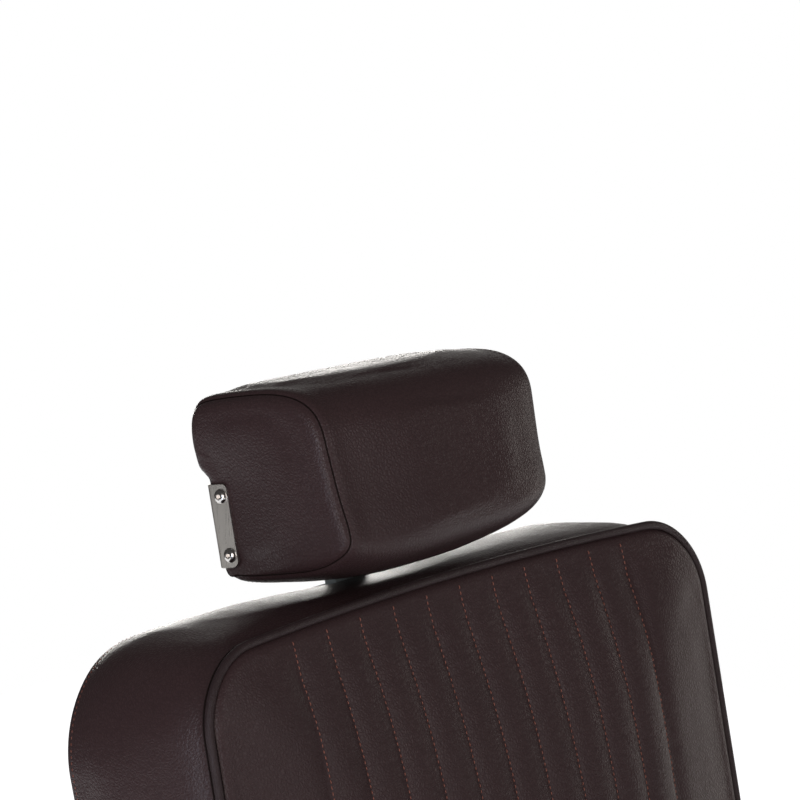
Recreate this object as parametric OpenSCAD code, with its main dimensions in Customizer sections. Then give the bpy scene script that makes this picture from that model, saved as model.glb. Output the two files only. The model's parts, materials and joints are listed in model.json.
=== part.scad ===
// Hydraulic barber chair: reclining channelled back with a sliding, tilting headrest, a legrest that
// follows the back through a parallel link, a folding footplate, chrome arm loops and a foot pump base.
// X is across the chair, -Y is the front, +Z is up, and the floor under the swivel axis is the origin.
// The back and the legrest are drawn upright about their own pivots and then leaned into place.

/* [Base] */
// Radius over the rubber edge of the floor plate
base_r = 300; // [270:5:340]
// Thickness of the steel floor plate
plate_t = 10; // [8:1:14]
// Width of the rubber edge ring
edge_w = 10; // [8:1:14]
// Rise of the spun cover from its rim to its neck
cover_h = 46; // [42:1:60]
// Sheet thickness of the spun cover
cover_t = 2; // [1.5:0.5:3]

/* [Pump] */
// Outer radius of the pump cylinder
pump_r = 55; // [50:1:60]
// Wall of the pump cylinder
pump_wall = 9; // [7:1:12]
// Height of the pump cylinder's top face above the floor
pump_top = 292; // [280:2:330]
// Width of the bolted foot flange around the cylinder
flange_w = 33; // [30:1:40]
// Thickness of the foot flange
flange_t = 14; // [10:1:18]
// Radius of the polished ram
ram_r = 25; // [22:1:28]
// Stroke of the ram
lift_travel = 150; // [120:5:160]
// Height of the gland cap above the cylinder
gland_h = 16; // [12:1:22]

/* [Pump lever] */
// Distance of the lever pivot behind the pump cylinder
lever_reach = 20; // [18:1:25]
// Height of the lever pivot above the floor
lever_pivot_z = 115; // [110:1:130]
// Length of the lever from its pivot to the end of the bar
lever_len = 200; // [170:5:205]
// Radius of the lever bar
lever_r = 9; // [7:1:10]
// Angle of the raised lever above level
lever_rise = 13; // [8:1:16]

/* [Seat frame] */
// Height of the swivel hub
hub_h = 34; // [30:1:44]
// Outer radius of the swivel hub
hub_r = 48; // [44:1:54]
// Thickness of the spider arms
spider_t = 14; // [10:1:18]
// Distance of the side rails' outer faces inside the back's sides
frame_inset = 52; // [45:1:60]
// Width of a side rail
rail_w = 20; // [18:1:26]
// Height of a side rail
rail_h = 40; // [36:1:50]
// Wall of the rails and cross tubes
rail_wall = 3; // [2:0.5:4]
// Thickness of the side plates that carry both pivots
side_plate_t = 6; // [5:1:8]
// Thickness of the plywood boards
board_t = 12; // [9:1:15]

/* [Seat cushion] */
// Distance that the seat cushion's sides stand out past the back's
seat_overlap = 5; // [3:0.5:8]
// Depth of the seat cushion at its piping
seat_depth = 438; // [400:2:440]
// Height of the seat cushion up to its piping
seat_t = 112; // [90:2:130]
// Distance of the cushion's front edge ahead of the swivel axis
seat_front = 262; // [250:1:264]

/* [Back] */
// Lean of the back at rest, in degrees
lean = 12; // [8:1:16]
// Gap between the seat cushion's rear edge and the back's front piping, at the pivot's height
seat_back_gap = 9; // [7:0.5:14]
// Height of the back pivot above the underside of the rails
back_pivot_rise = 69; // [66:1:76]
// Width of the back at its piping
back_w = 514; // [480:2:530]
// Height of the back cushion
back_h = 575; // [520:5:620]
// Height of the cushion's lower edge above the pivot, along the lean
back_low = 60; // [58:1:70]
// Distance of the rear seam behind the pivot
back_rear = 65; // [60:1:72]
// Radius of the back's corners
back_corner_r = 60; // [45:1:70]
// Distance of the front piping ahead of the pivot
back_front = 60; // [55:1:65]
// Width of the padded rim around the hollow rear of the back
back_rim = 22; // [18:1:26]

/* [Recline linkage] */
// Distance from each pivot to its crank pin
crank = 70; // [64:1:74]
// Angle of the cranks behind straight down at rest: half of the recline, in degrees
crank_angle = 25; // [22:1:28]
// Radius of the crank pins
crank_pin_r = 6; // [5:0.5:7]
// Radius of the pivot shafts
shaft_r = 8; // [7:0.5:9]
// Thickness of the swinging arms
arm_t = 8; // [6:1:10]
// Thickness of the parallel link
link_t = 6; // [5:1:8]
// Radius of the recline cylinder
cylinder_r = 14; // [12:1:14]
// Radius of the recline rod
rod_r = 6; // [5:0.5:7]

/* [Armrests] */
// Distance of each arm loop outside the seat cushion's side
arm_out = 40; // [38:1:48]
// Radius of the arm loop's tube
arm_tube_r = 12; // [10:1:13]
// Bend radius of the arm loop
arm_bend_r = 40; // [32:1:50]
// Height of the arm loop's upper bar above the lower bar
arm_loop_h = 305; // [290:5:330]
// Width of an arm pad
arm_pad_w = 64; // [56:1:66]
// Length of an arm pad
arm_pad_len = 400; // [360:5:420]
// Thickness of an arm pad up to its seam
arm_pad_t = 34; // [28:1:44]

/* [Legrest] */
// Distance of the legrest pivot behind the seat cushion's front edge
leg_pivot_inset = 22; // [18:1:26]
// Angle of the hanging legrest ahead of straight down, in degrees
leg_tilt = 20; // [16:1:24]
// Side gap between the legrest pad and the planes of the side plates
leg_pad_inset = 5; // [4:1:15]
// Distance from the legrest pad's lower edge to the footplate hinge
leg_pad_gap = 43; // [40:1:60]
// Thickness of the legrest pad up to its piping
leg_pad_t = 42; // [36:1:50]
// Distance from the legrest pivot down to the footplate hinge
leg_len = 335; // [330:5:350]

/* [Footplate] */
// Side gap between the footplate and the planes of the side plates
foot_inset = 5; // [4:1:20]
// Reach of the footplate ahead of its hinge
foot_len = 150; // [130:5:170]
// Thickness of the footplate
foot_t = 8; // [6:1:12]
// Number of ribs on the rubber tread
tread_ribs = 9; // [5:1:12]

/* [Headrest] */
// Width of the headrest between its end seams
head_w = 224; // [200:2:240]
// Depth of the headrest's side profile
head_depth = 124.2; // [116:0.2:132]
// Height of the headrest's side profile
head_h = 124.8; // [118:0.2:136]
// Height of the headrest's underside above the back's front piping, along the lean
head_lift = 20.6; // [18:0.1:28]
// Width of the flat headrest bar
bar_w = 32; // [26:1:36]
// Thickness of the flat headrest bar
bar_t = 10; // [8:1:11]
// Length of the bar inside the back when the headrest is down
bar_inside = 190; // [170:5:210]
// Sheet thickness of the headrest bracket
bracket_t = 2; // [1.5:0.5:3]

/* [Upholstery] */
// Plain border of the back's panel outside the first and the last stitch line
flute_border = 86; // [80:1:100]
// Number of stitch lines on the back and the seat
flute_lines = 11; // [7:2:11]
// Number of stitch lines on the legrest
leg_lines = 9; // [5:2:9]
// Depth of the sewn channels
flute_depth = 5; // [3:0.5:7]
// Height that a panel swells above its piping
panel_puff = 12; // [8:1:14]
// Width over which a panel rises from its piping
panel_roll = 40; // [30:1:44]
// Swell of the side bands between their seams
band_puff = 5; // [3:0.5:6]

/* [Fits] */
// Radial clearance of turning and sliding fits
running = 0.05; // [0.03:0.01:0.08]
// Gap between soft pieces and their neighbours
soft_gap = 0.3; // [0.3:0.1:0.6]
// Side gap between two plates that swing past each other
side_gap = 1; // [0.8:0.1:1.5]

/* [Hidden] */
$fn = 64;
// Facet count of hulled outlines
hull_fn = 32;
// Overrun of cutting shapes
cut = 1;

// Fasteners: shank and head sizes shared by the hex bolts
bolt_r = 5;
bolt_head_r = 9;
bolt_head_h = 6;

// Floor plate and pump foot
plate_r = base_r - edge_w;
edge_h = plate_t + edge_w / 2;
plate_chamfer = plate_t / 5;
flange_r = pump_r + flange_w;
flange_top = plate_t + flange_t;
flange_bolt_r = (flange_r + pump_r) / 2;
flange_bolts_n = 6;
cover_rim_r = plate_r - edge_w / 2;
cover_neck_r = pump_r + edge_w;
cover_top = plate_t + cover_h + cover_t;
cover_steps = 14;
cover_power_share = 2.2;
collar_w = 16;
collar_h = 16;
bore_r = pump_r - pump_wall;
foot_wall = 8;

// Gland, ram and bearing, stacked upwards from the pump
gland_top = pump_top + gland_h;
gland_r = pump_r + pump_wall / 2;
spigot_h = 22;
ram_collar_w = 11;
ram_collar_r = ram_r + ram_collar_w;
ram_collar_h = 6;
ram_collar_z = gland_top + soft_gap;
bearing_w = 17;
bearing_r = ram_r + bearing_w;
bearing_h = 8;
bearing_z = ram_collar_z + ram_collar_h;
hub_z = bearing_z + bearing_h;
ram_recess = 5;
ram_spigot_r = 12;
ram_spigot_h = 24;
piston_h = 40;
piston_top = pump_top - spigot_h - lift_travel - spigot_h / 2;
seal_h = 8;
seal_w = 5;

// Pump lever
lever_pivot_y = pump_r + lever_reach;
lever_hub_r = 12;
lever_pin_r = 5;
lever_hub_w = 20;
lever_boss_r = lever_hub_r - side_gap;
ear_t = 6;
lever_head_t = 3;
lever_head_r = lever_pin_r + lever_head_t;
ear_x = lever_hub_w / 2 + soft_gap;
saddle_t = 8;
saddle_h = 46;
pad_len = 58;
pad_wall = 4;
pad_ribs = 6;
pad_rib_h = 1.2;

// Widths that follow the back's, and lengths along the chair from the seat cushion's two edges
seat_w = back_w + 2 * seat_overlap;
frame_w = back_w - 2 * frame_inset;
arm_x = seat_w / 2 + arm_out;
leg_pad_w = frame_w - 2 * leg_pad_inset;
foot_w = frame_w - 2 * foot_inset;
seat_rear = seat_depth - seat_front;
back_pivot_y = seat_rear + seat_back_gap + back_front;
leg_pivot_y = seat_front - leg_pivot_inset;
back_t = back_front + back_rear;

// Seat frame, stacked upwards from the hub
rail_front_inset = 25;
rail_rear_inset = 30;
rail_front = leg_pivot_y - rail_front_inset;
rail_rear = back_pivot_y - rail_rear_inset;
rail_len = rail_front + rail_rear;
rail_mid = (rail_rear - rail_front) / 2;
rail_z = hub_z + hub_h;
board_z = rail_z + rail_h;
cushion_z = board_z + board_t + soft_gap;
rail_x = frame_w / 2 - rail_w / 2;
spider_inset = 65;
spider_ys = [spider_inset - rail_front, rail_rear - spider_inset];
spider_end_r = 17;
spider_root_r = 30;
cross_h = 30;
cross_w = 24;
cross_inset = cross_w + rail_w / 2;
cross_ys = [cross_inset - rail_front, rail_rear - cross_inset];
plate_x0 = frame_w / 2;
plate_x1 = plate_x0 + side_plate_t;
arm_x0 = plate_x1 + side_gap;
arm_x1 = arm_x0 + arm_t;
link_x0 = arm_x1 + side_gap;
link_x1 = link_x0 + link_t;
pivot_lobe_r = 26;
leg_lobe_r = 19;
lobe_root = 20;
back_pivot_z = rail_z + back_pivot_rise;
leg_pivot_z = rail_z + rail_h / 2;
shaft_head_t = 3;
shaft_head_r = shaft_r + shaft_head_t;
board_margin = 12;
seat_corner_r = 40;
seat_board_r = seat_corner_r - board_margin;

// Side panels and the bolts that carry the arm loops
panel_t = 6;
panel_x0 = seat_w / 2;
panel_drop = 5;
panel_h = 52;
panel_corner_r = 16;
panel_inset = 26;
panel_reach = 20;
panel_y0 = panel_inset - seat_front;
panel_y1 = seat_rear + panel_reach;
arm_bar_rise = 29;
arm_bar_z = rail_z + arm_bar_rise;
arm_bolt_r = 8;
arm_bolt_inset = 112;
arm_bolt_back = 66;
arm_bolt_front = arm_bolt_inset - seat_front;
arm_bolt_rear = seat_rear - arm_bolt_back;
arm_screw_r = 5;
arm_head_r = 9;
arm_head_t = 4;
arm_top_z = arm_bar_z + arm_loop_h;
arm_loop_inset = 87;
arm_loop_back = 26;
arm_loop_front = arm_loop_inset - seat_front;
arm_loop_rear = seat_rear - arm_loop_back;
arm_loop_rake = 40;
arm_loop_flare = 15;
arm_pad_r = 30;
arm_pad_inset = 30;
arm_pad_front = seat_front - arm_pad_inset;
arm_pad_z = arm_top_z + arm_tube_r + soft_gap;

// Recline cylinder and rod, level with the mean height of the crank pin
pin_low_z = back_pivot_z - crank;
pin_rest_z = back_pivot_z - crank * cos(crank_angle);
rod_z = (pin_low_z + pin_rest_z) / 2;
yoke_t = 8;
yoke_gap = 0.6;
yoke_w = 34;
yoke_wall = 10;
yoke_x0 = arm_x1 + side_gap;
rod_x = yoke_x0 + yoke_t / 2;
pin_rest_y = back_pivot_y + crank * sin(crank_angle);
rod_stroke = 2 * crank * sin(crank_angle);
cylinder_gap = 48;
cylinder_rear = pin_rest_y - yoke_w / 2 - rod_stroke - cylinder_gap;
cylinder_len = 240;
rod_end = 14;
saddle_len = 24;
saddle_inset = 30;
gland_len = 14;
gland_step = 2;

// Release lever
release_y = 20;
release_z = rail_z + rail_h / 2;
release_shaft_r = 7;
release_arm_t = 7;
release_len = 100;
release_angle = 40;
release_hub_r = 12;
release_end_r = 8;
release_gap = 2;
knob_r = 12;
knob_len = 20;

// Back, in its own frame with the pivot at the origin
crank_lobe_r = 12;
crank_root_r = 24;
back_step_y = 44;
back_step_z = 48;
back_arm_r = 16;
back_arm_reach = 20;
bush_wall = 4;
bush_flange_r = 17;
pin_head_r = 9;
pin_head_t = 3;
board_front = 13;
pocket_floor = board_front - soft_gap;
board_rear = board_front + board_t;
back_top = back_low + back_h;
tube_r = 10;
tube_low = 120;
guide_len = 205;
tube_gap = 100;
tube_high = back_top - guide_len - tube_gap;
back_arm_top = tube_high + back_arm_reach;
rear_panel_t = 3;
rear_panel_puff = 5;
rear_panel_inset = 5;
arch_rise = 3;
arm_slot_gap = 1.5;

// Headrest bar, guide and bracket, in the back's frame
bar_y0 = 28.7;
bar_y1 = bar_y0 + bar_t;
bar_mid = bar_y0 + bar_t / 2;
head_pin_share = 0.32;
head_pin_up = head_pin_share * head_h;
head_pin_r = 3;
head_pin_z = back_top + head_lift + head_pin_up;
slide_gap = 0.3;
guide_wall = 3.4;
guide_top_gap = 2;
guide_y0 = board_rear;
guide_y1 = bar_y1 + slide_gap + guide_wall;
guide_tab_w = 14;
guide_tab_h = 26;
head_z0 = back_top + head_lift;
bracket_low_share = 0.084;
bracket_high_share = 0.537;
bracket_low = bracket_low_share * head_h;
bracket_high = bracket_high_share * head_h;
bracket_flange = 18;
bracket_corner = 9;
bracket_gap = 0.5;
bracket_rear = bar_y1 + bracket_gap + bracket_t;
bracket_inner = bracket_rear - bracket_t;
head_flat_share = 0.929;
head_y0 = bracket_inner - soft_gap - head_flat_share * head_depth;
ear_w = 5;
ear_gap = 1;
ear_x0 = bar_w / 2 + ear_gap;
ear_x1 = ear_x0 + ear_w;
pocket_share = 0.45;
pocket_up = pocket_share * head_h;
pocket_deep = 14;
screw_r = 2.5;
screw_head_r = 5;
screw_head_h = 2.6;
screw_len = 14;
screw_front = 6;
screw_low = 8.4;

// Legrest, in its own frame with the pivot at the origin
leg_hub_r = 17;
leg_end_r = 12;
leg_board_gap = 8;
leg_pad_top = 42;
leg_bar_r = leg_board_gap;
leg_pad_h = leg_len - leg_pad_top - leg_pad_gap;
leg_bar_margin = 42;
leg_bar_low = leg_pad_top + leg_pad_h - leg_bar_margin;
leg_bar_high = 80;
foot_forward = 40;
foot_pin_r = 6;
foot_knuckle_r = 12;
foot_knuckle_gap = 2;
tread_margin = 16;
tread_t = 2.5;
tread_rib_h = 2.5;
rim_h = 7;
rim_t = 6;
foot_corner_r = 30;

// Crown and band shapes shared by every cushion
flute_pitch = (back_w - 2 * flute_border) / (flute_lines - 1);
edge_angles = [0, 22.5, 45, 67.5];
row_shares = [0, 0.03, 0.09, 0.27, 0.5, 0.73, 0.91, 0.97, 1];
quarter_shares = [0, 0.25, 0.5, 0.75];
dome_share = 0.6;
band_shares = [[0.8, 0.14], [1, 0.5], [0.8, 0.86], [0, 1]];

// Facets of a bent tube: rings in each bend and sides round it
bend_steps = 8;
tube_sides = 24;

// Side profile of the headrest as shares of its depth and height, clockwise from the underside
head_shares = [[0.261, 0.007], [0.567, 0], [0.833, 0.002], [0.905, 0.03], [head_flat_share, 0.085],
    [head_flat_share, 0.32], [head_flat_share, 0.56], [0.94, 0.575], [0.985, 0.6], [1, 0.777], [0.975, 0.925],
    [0.911, 0.985], [0.688, 1], [0.406, 1], [0.204, 0.949], [0.085, 0.829], [0.061, 0.609],
    [0.036, 0.39], [0, 0.224], [0.002, 0.144], [0.067, 0.076]];
head_station_shares = [-1, -0.95, -0.87, -0.55, 0, 0.55, 0.87, 0.95, 1];
head_swell_shares = [0, 0.7, 1, 1.3, 1.5, 1.3, 1, 0.7, 0];
head_swell = 4;
// The lower front corners roll back towards both end seams, and the right end is a little slimmer
head_roll = 13;
head_roll_shares = [1, 0.5, 0.2, 0, 0, 0, 0.2, 0.5, 1];
head_taper_share = 0.11;
head_still_share = 0.35;

// Placing helpers

// Lays a flat outline in the Y-Z plane and thickens it along +X from x0
module plate_at(x0, t) {
    translate([x0, 0, 0]) rotate([90, 0, 90]) linear_extrude(t) children();
}

// A round bar along +X from x0 to x1
module bar_x(r, x0, x1) {
    translate([x0, 0, 0]) rotate([0, 90, 0]) cylinder(r = r, h = x1 - x0);
}

// Mirrors its children to the left side when side is -1
module sided(side) {
    if (side < 0) mirror([1, 0, 0]) children();
    else children();
}

// The flat outline round two circles
module lobe(a, b, ra, rb) {
    hull() {
        translate(a) circle(r = ra, $fn = hull_fn);
        translate(b) circle(r = rb, $fn = hull_fn);
    }
}

// A rectangle with rounded corners, centred on X and standing on Y = 0
module rounded_rect(w, h, r) {
    hull() for (x = [r - w / 2, w / 2 - r], y = [r, h - r])
        translate([x, y]) circle(r = r, $fn = hull_fn);
}

// A hollow rectangular tube along Y, centred on the origin, with open ends
module box_tube_y(w, len, h, wall) {
    difference() {
        translate([-w / 2, -len / 2, 0]) cube([w, len, h]);
        translate([wall - w / 2, -len / 2 - cut, wall])
            cube([w - 2 * wall, len + 2 * cut, h - 2 * wall]);
    }
}

module at_back_pivot() {
    translate([0, back_pivot_y, back_pivot_z]) rotate([-lean, 0, 0]) children();
}

module at_leg_pivot() {
    translate([0, -leg_pivot_y, leg_pivot_z]) rotate([-leg_tilt, 0, 0]) children();
}

module at_foot_hinge() {
    at_leg_pivot() translate([0, -foot_forward, -leg_len]) rotate([leg_tilt, 0, 0]) children();
}

module at_lever() {
    translate([0, lever_pivot_y, lever_pivot_z]) rotate([lever_rise, 0, 0]) children();
}

// Upholstery helpers

// Quarter-round rise from a seam, as a share of the full lift
function rise(d, run) = d <= 0 ? 0 : d >= run ? 1 : sqrt(1 - pow(1 - d / run, 2));

// How far the rounded corner pulls the outline in at a place across the pad
function corner_drop(x, w, r) = let (c = abs(x) - w / 2 + r) c <= 0 ? 0 : r - sqrt(max(0, r * r - c * c));

// Depth share of the nearest sewn channel: 1 on a stitch line and 0 between two lines
function channel(x, zone, pitch) = zone == 0 ? 0
    : abs(x) > zone / 2 ? max(0, 1 - (abs(x) - zone / 2) / (pitch / 2))
    : 1 - abs(sin(180 * (x + zone / 2) / pitch));

// Places across the pad: the corner arcs, then quarter steps between the stitch lines
function pad_columns(w, r, lines, pitch) = let (
    zone = (lines - 1) * pitch,
    inner = lines > 1
        ? [for (i = [0 : lines - 2], q = quarter_shares) (i + q) * pitch - zone / 2]
        : [for (q = quarter_shares) q * (w / 2 - r) - (w / 2 - r) / 2],
    last = lines > 1 ? [zone / 2] : []
) concat([for (a = edge_angles) r * (1 - cos(a)) - w / 2], [r - w / 2], inner, last,
    [w / 2 - r], [for (i = [len(edge_angles) - 1 : -1 : 0]) w / 2 - r * (1 - cos(edge_angles[i]))]);

// A sewn pad lying face up: x across, y along, and z = 0 at its piping. Each ring below the
// piping is [outward offset, depth], so the bands swell between their seams.
module pad(w, h, r, lines, depth, puff, roll, arch, rings) {
    zone = (lines - 1) * flute_pitch;
    xs = pad_columns(w, r, lines, flute_pitch);
    nx = len(xs);
    ny = len(row_shares);
    low = [for (x = xs) corner_drop(x, w, r)];
    high = [for (x = xs) h - corner_drop(x, w, r) - arch * pow(2 * x / w, 2)];
    face = [for (i = [0 : nx - 1], s = row_shares) let (
        x = xs[i],
        y = low[i] + (high[i] - low[i]) * s,
        edge = rise(w / 2 - abs(x), roll) * rise(min(y - low[i], high[i] - y), roll),
        dome = dome_share * puff * (1 - pow(2 * x / w, 2)) * (1 - pow(2 * y / h - 1, 2))
    ) [x, y, edge * (puff - depth * channel(x, zone, flute_pitch)) + max(0, dome)]];
    loop = concat([for (i = [0 : nx - 1]) i * ny],
        [for (j = [1 : ny - 2]) (nx - 1) * ny + j],
        [for (i = [nx - 1 : -1 : 0]) i * ny + ny - 1],
        [for (j = [ny - 2 : -1 : 1]) j]);
    n = len(loop);
    bands = [for (k = rings, q = loop) let (p = face[q])
        [p[0] * (w + 2 * k[0]) / w, h / 2 + (p[1] - h / 2) * (h + 2 * k[0]) / h, -k[1]]];
    base = nx * ny;
    all_points = concat(face, bands, [[0, h / 2, -rings[len(rings) - 1][1]]]);
    front = [for (i = [0 : nx - 2], j = [0 : ny - 2]) let (a = i * ny + j, b = a + ny)
        each [[a, a + 1, b + 1], [a, b + 1, b]]];
    first = [for (q = [0 : n - 1]) let (t = (q + 1) % n)
        each [[loop[q], loop[t], base + t], [loop[q], base + t, base + q]]];
    sides = [for (k = [0 : len(rings) - 2], q = [0 : n - 1]) let (
        t = (q + 1) % n, a = base + k * n, b = a + n
    ) each [[a + q, a + t, b + t], [a + q, b + t, b + q]]];
    rear = [for (q = [0 : n - 1]) let (t = (q + 1) % n, a = base + (len(rings) - 1) * n)
        [len(all_points) - 1, a + q, a + t]];
    polyhedron(points = all_points, faces = concat(front, first, sides, rear), convexity = 6);
}

// Side bands that swell between the piping and the lower seam
function bands_of(t, puff) = [for (s = band_shares) [s[0] * puff, s[1] * t]];

// One corner cutting pass over a closed outline
function cut_corners(p) = [for (i = [0 : len(p) - 1]) let (a = p[i], b = p[(i + 1) % len(p)])
    each [0.75 * a + 0.25 * b, 0.25 * a + 0.75 * b]];

// Base and pump

module base_plate() {
    color("dimgray") difference() {
        rotate_extrude($fn = 96) polygon([[0, 0], [plate_r, 0], [plate_r, plate_t - plate_chamfer],
            [plate_r - plate_chamfer, plate_t], [0, plate_t]]);
        flange_holes(plate_t - foot_wall + plate_chamfer, plate_t + cut);
    }
}

module flange_holes(z0, z1) {
    for (i = [0 : flange_bolts_n - 1]) rotate([0, 0, (i + 0.5) * 360 / flange_bolts_n])
        translate([flange_bolt_r, 0, z0]) cylinder(r = bolt_r + running, h = z1 - z0);
}

module base_ring() {
    color("black") rotate_extrude($fn = 96) union() {
        translate([plate_r, 0]) square([edge_w, edge_h - edge_w / 2]);
        translate([plate_r + edge_w / 2, edge_h - edge_w / 2]) circle(r = edge_w / 2, $fn = 24);
    }
}

// Height of the cover's inner face above the plate, from 0 at the rim to cover_h at the neck
function cover_rise(s) = cover_h * pow(s, cover_power_share);

module base_cover() {
    run = cover_rim_r - cover_neck_r;
    inner = [for (i = [0 : cover_steps]) let (s = i / cover_steps)
        [cover_rim_r - run * s, plate_t + cover_rise(s)]];
    outer = [for (i = [cover_steps : -1 : 0]) inner[i] + [0, cover_t]];
    lip = [[pump_r + cover_t, plate_t + cover_h], [pump_r + cover_t, cover_top]];
    color("silver") rotate_extrude($fn = 96) polygon(concat(inner, lip, outer));
}

module pump_housing() {
    color("silver") difference() {
        union() {
            translate([0, 0, plate_t]) cylinder(r = pump_r, h = pump_top - plate_t);
            translate([0, 0, plate_t]) cylinder(r = flange_r, h = flange_t);
        }
        translate([0, 0, plate_t + foot_wall]) cylinder(r = bore_r, h = pump_top);
        flange_holes(plate_t - cut, flange_top + cut);
    }
}

module pump_collar() {
    r = pump_r + running;
    color("silver") rotate_extrude() polygon([[r, cover_top], [r + collar_w, cover_top],
        [r + collar_w, cover_top + collar_h / 3], [r + collar_w / 3, cover_top + collar_h],
        [r, cover_top + collar_h]]);
}

module pump_gland() {
    color("silver") difference() {
        union() {
            translate([0, 0, pump_top]) cylinder(r = gland_r, h = gland_h);
            translate([0, 0, pump_top - spigot_h]) cylinder(r = bore_r - running, h = spigot_h + cut);
        }
        translate([0, 0, pump_top - spigot_h - cut])
            cylinder(r = ram_r + running, h = gland_h + spigot_h + 2 * cut);
    }
}

module flange_bolts() {
    color("gray") for (i = [0 : flange_bolts_n - 1]) rotate([0, 0, (i + 0.5) * 360 / flange_bolts_n])
        translate([flange_bolt_r, 0, 0]) {
            translate([0, 0, flange_top]) cylinder(r = bolt_head_r, h = bolt_head_h, $fn = 6);
            translate([0, 0, plate_t - foot_wall / 2])
                cylinder(r = bolt_r, h = flange_t + foot_wall / 2 + bolt_head_h / 2);
        }
}

module lever_bracket() {
    color("silver") difference() {
        union() {
            for (side = [-1, 1]) sided(side) plate_at(ear_x, ear_t) hull() {
                translate([lever_pivot_y, lever_pivot_z]) circle(r = lever_hub_r, $fn = hull_fn);
                translate([pump_r - saddle_t, lever_pivot_z - saddle_h / 2]) square([saddle_t, saddle_h]);
            }
            translate([-ear_x - ear_t, pump_r - saddle_t, lever_pivot_z - saddle_h / 2])
                cube([2 * (ear_x + ear_t), saddle_t * 1.5, saddle_h]);
        }
        cylinder(r = pump_r, h = pump_top);
        translate([0, lever_pivot_y, lever_pivot_z])
            bar_x(lever_pin_r + running, -ear_x - ear_t - cut, ear_x + ear_t + cut);
    }
}

module pump_lever_arm() {
    color("silver") at_lever() difference() {
        union() {
            bar_x(lever_boss_r, -lever_hub_w / 2, lever_hub_w / 2);
            rotate([-90, 0, 0]) cylinder(r = lever_r, h = lever_len);
        }
        bar_x(lever_pin_r, -lever_hub_w, lever_hub_w);
    }
}

module pump_lever_pin() {
    head_x = ear_x + ear_t + soft_gap;
    color("gray") at_lever() union() {
        bar_x(lever_pin_r, -head_x - lever_head_t, head_x + lever_head_t);
        for (side = [-1, 1]) sided(side) bar_x(lever_head_r, head_x, head_x + lever_head_t);
    }
}

module pump_lever_pad() {
    color("black") at_lever() translate([0, lever_len - pad_len, 0]) rotate([-90, 0, 0]) difference() {
        union() {
            cylinder(r = lever_r + pad_wall, h = pad_len + pad_wall);
            for (i = [0 : pad_ribs - 1])
                translate([0, 0, (i + 0.5) * pad_len / pad_ribs])
                    cylinder(r = lever_r + pad_wall + pad_rib_h, h = pad_len / pad_ribs / 2);
        }
        translate([0, 0, -cut]) cylinder(r = lever_r, h = pad_len + cut);
    }
}

// Ram, piston and bearing

module lift_ram() {
    color("silver") union() {
        translate([0, 0, piston_top]) cylinder(r = ram_r, h = rail_z - ram_recess - piston_top);
        translate([0, 0, ram_collar_z]) cylinder(r = ram_collar_r, h = ram_collar_h);
        translate([0, 0, piston_top - ram_spigot_h]) cylinder(r = ram_spigot_r, h = ram_spigot_h + cut);
    }
}

module lift_piston() {
    seal_z = piston_top - piston_h / 2 - seal_h / 2;
    color("gray") difference() {
        translate([0, 0, piston_top - piston_h]) cylinder(r = bore_r - running, h = piston_h);
        translate([0, 0, piston_top - ram_spigot_h]) cylinder(r = ram_spigot_r, h = piston_h);
        translate([0, 0, seal_z]) difference() {
            cylinder(r = bore_r + cut, h = seal_h);
            translate([0, 0, -cut]) cylinder(r = bore_r - running - seal_w, h = seal_h + 2 * cut);
        }
    }
}

module piston_seal() {
    seal_z = piston_top - piston_h / 2 - seal_h / 2;
    color("black") translate([0, 0, seal_z]) difference() {
        cylinder(r = bore_r - running, h = seal_h);
        translate([0, 0, -cut]) cylinder(r = bore_r - running - seal_w, h = seal_h + 2 * cut);
    }
}

module thrust_bearing() {
    groove = bearing_h / 4;
    color("gray") translate([0, 0, bearing_z]) difference() {
        cylinder(r = bearing_r, h = bearing_h);
        translate([0, 0, -cut]) cylinder(r = ram_r, h = bearing_h + 2 * cut);
        translate([0, 0, (bearing_h - groove) / 2]) difference() {
            cylinder(r = bearing_r + cut, h = groove);
            cylinder(r = bearing_r - groove, h = groove);
        }
    }
}

// Seat frame

module spider_places() {
    for (x = [-rail_x, rail_x], y = spider_ys) translate([x, y, 0]) children();
}

module swivel_hub() {
    color("dimgray") difference() {
        union() {
            translate([0, 0, hub_z]) cylinder(r = hub_r, h = hub_h);
            for (x = [-rail_x, rail_x], y = spider_ys)
                translate([0, 0, rail_z - spider_t]) linear_extrude(spider_t)
                    lobe([0, 0], [x, y], spider_root_r, spider_end_r);
        }
        translate([0, 0, hub_z - cut]) cylinder(r = ram_r + running, h = hub_h + 2 * cut);
        spider_places() translate([0, 0, rail_z - spider_t - cut])
            cylinder(r = bolt_r + running, h = spider_t + 2 * cut);
    }
}

module hub_bolts() {
    color("gray") spider_places() {
        translate([0, 0, rail_z - spider_t - bolt_head_h])
            cylinder(r = bolt_head_r, h = bolt_head_h, $fn = 6);
        translate([0, 0, rail_z - spider_t - bolt_head_h / 2])
            cylinder(r = bolt_r, h = spider_t + bolt_head_h / 2 + 3 * rail_wall);
    }
}

module side_rail(side) {
    sided(side) difference() {
        translate([rail_x, rail_mid, rail_z]) box_tube_y(rail_w, rail_len, rail_h, rail_wall);
        for (y = spider_ys) translate([rail_x, y, rail_z - cut])
            cylinder(r = bolt_r + running, h = rail_wall + 2 * cut);
    }
}

module side_rail_left() { color("dimgray") side_rail(-1); }
module side_rail_right() { color("dimgray") side_rail(1); }

module cross_tubes() {
    color("dimgray") for (y = cross_ys) translate([0, y, rail_z + rail_h - cross_h])
        rotate([0, 0, 90]) box_tube_y(cross_w, frame_w - 2 * rail_w, cross_h, rail_wall);
}

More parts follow.
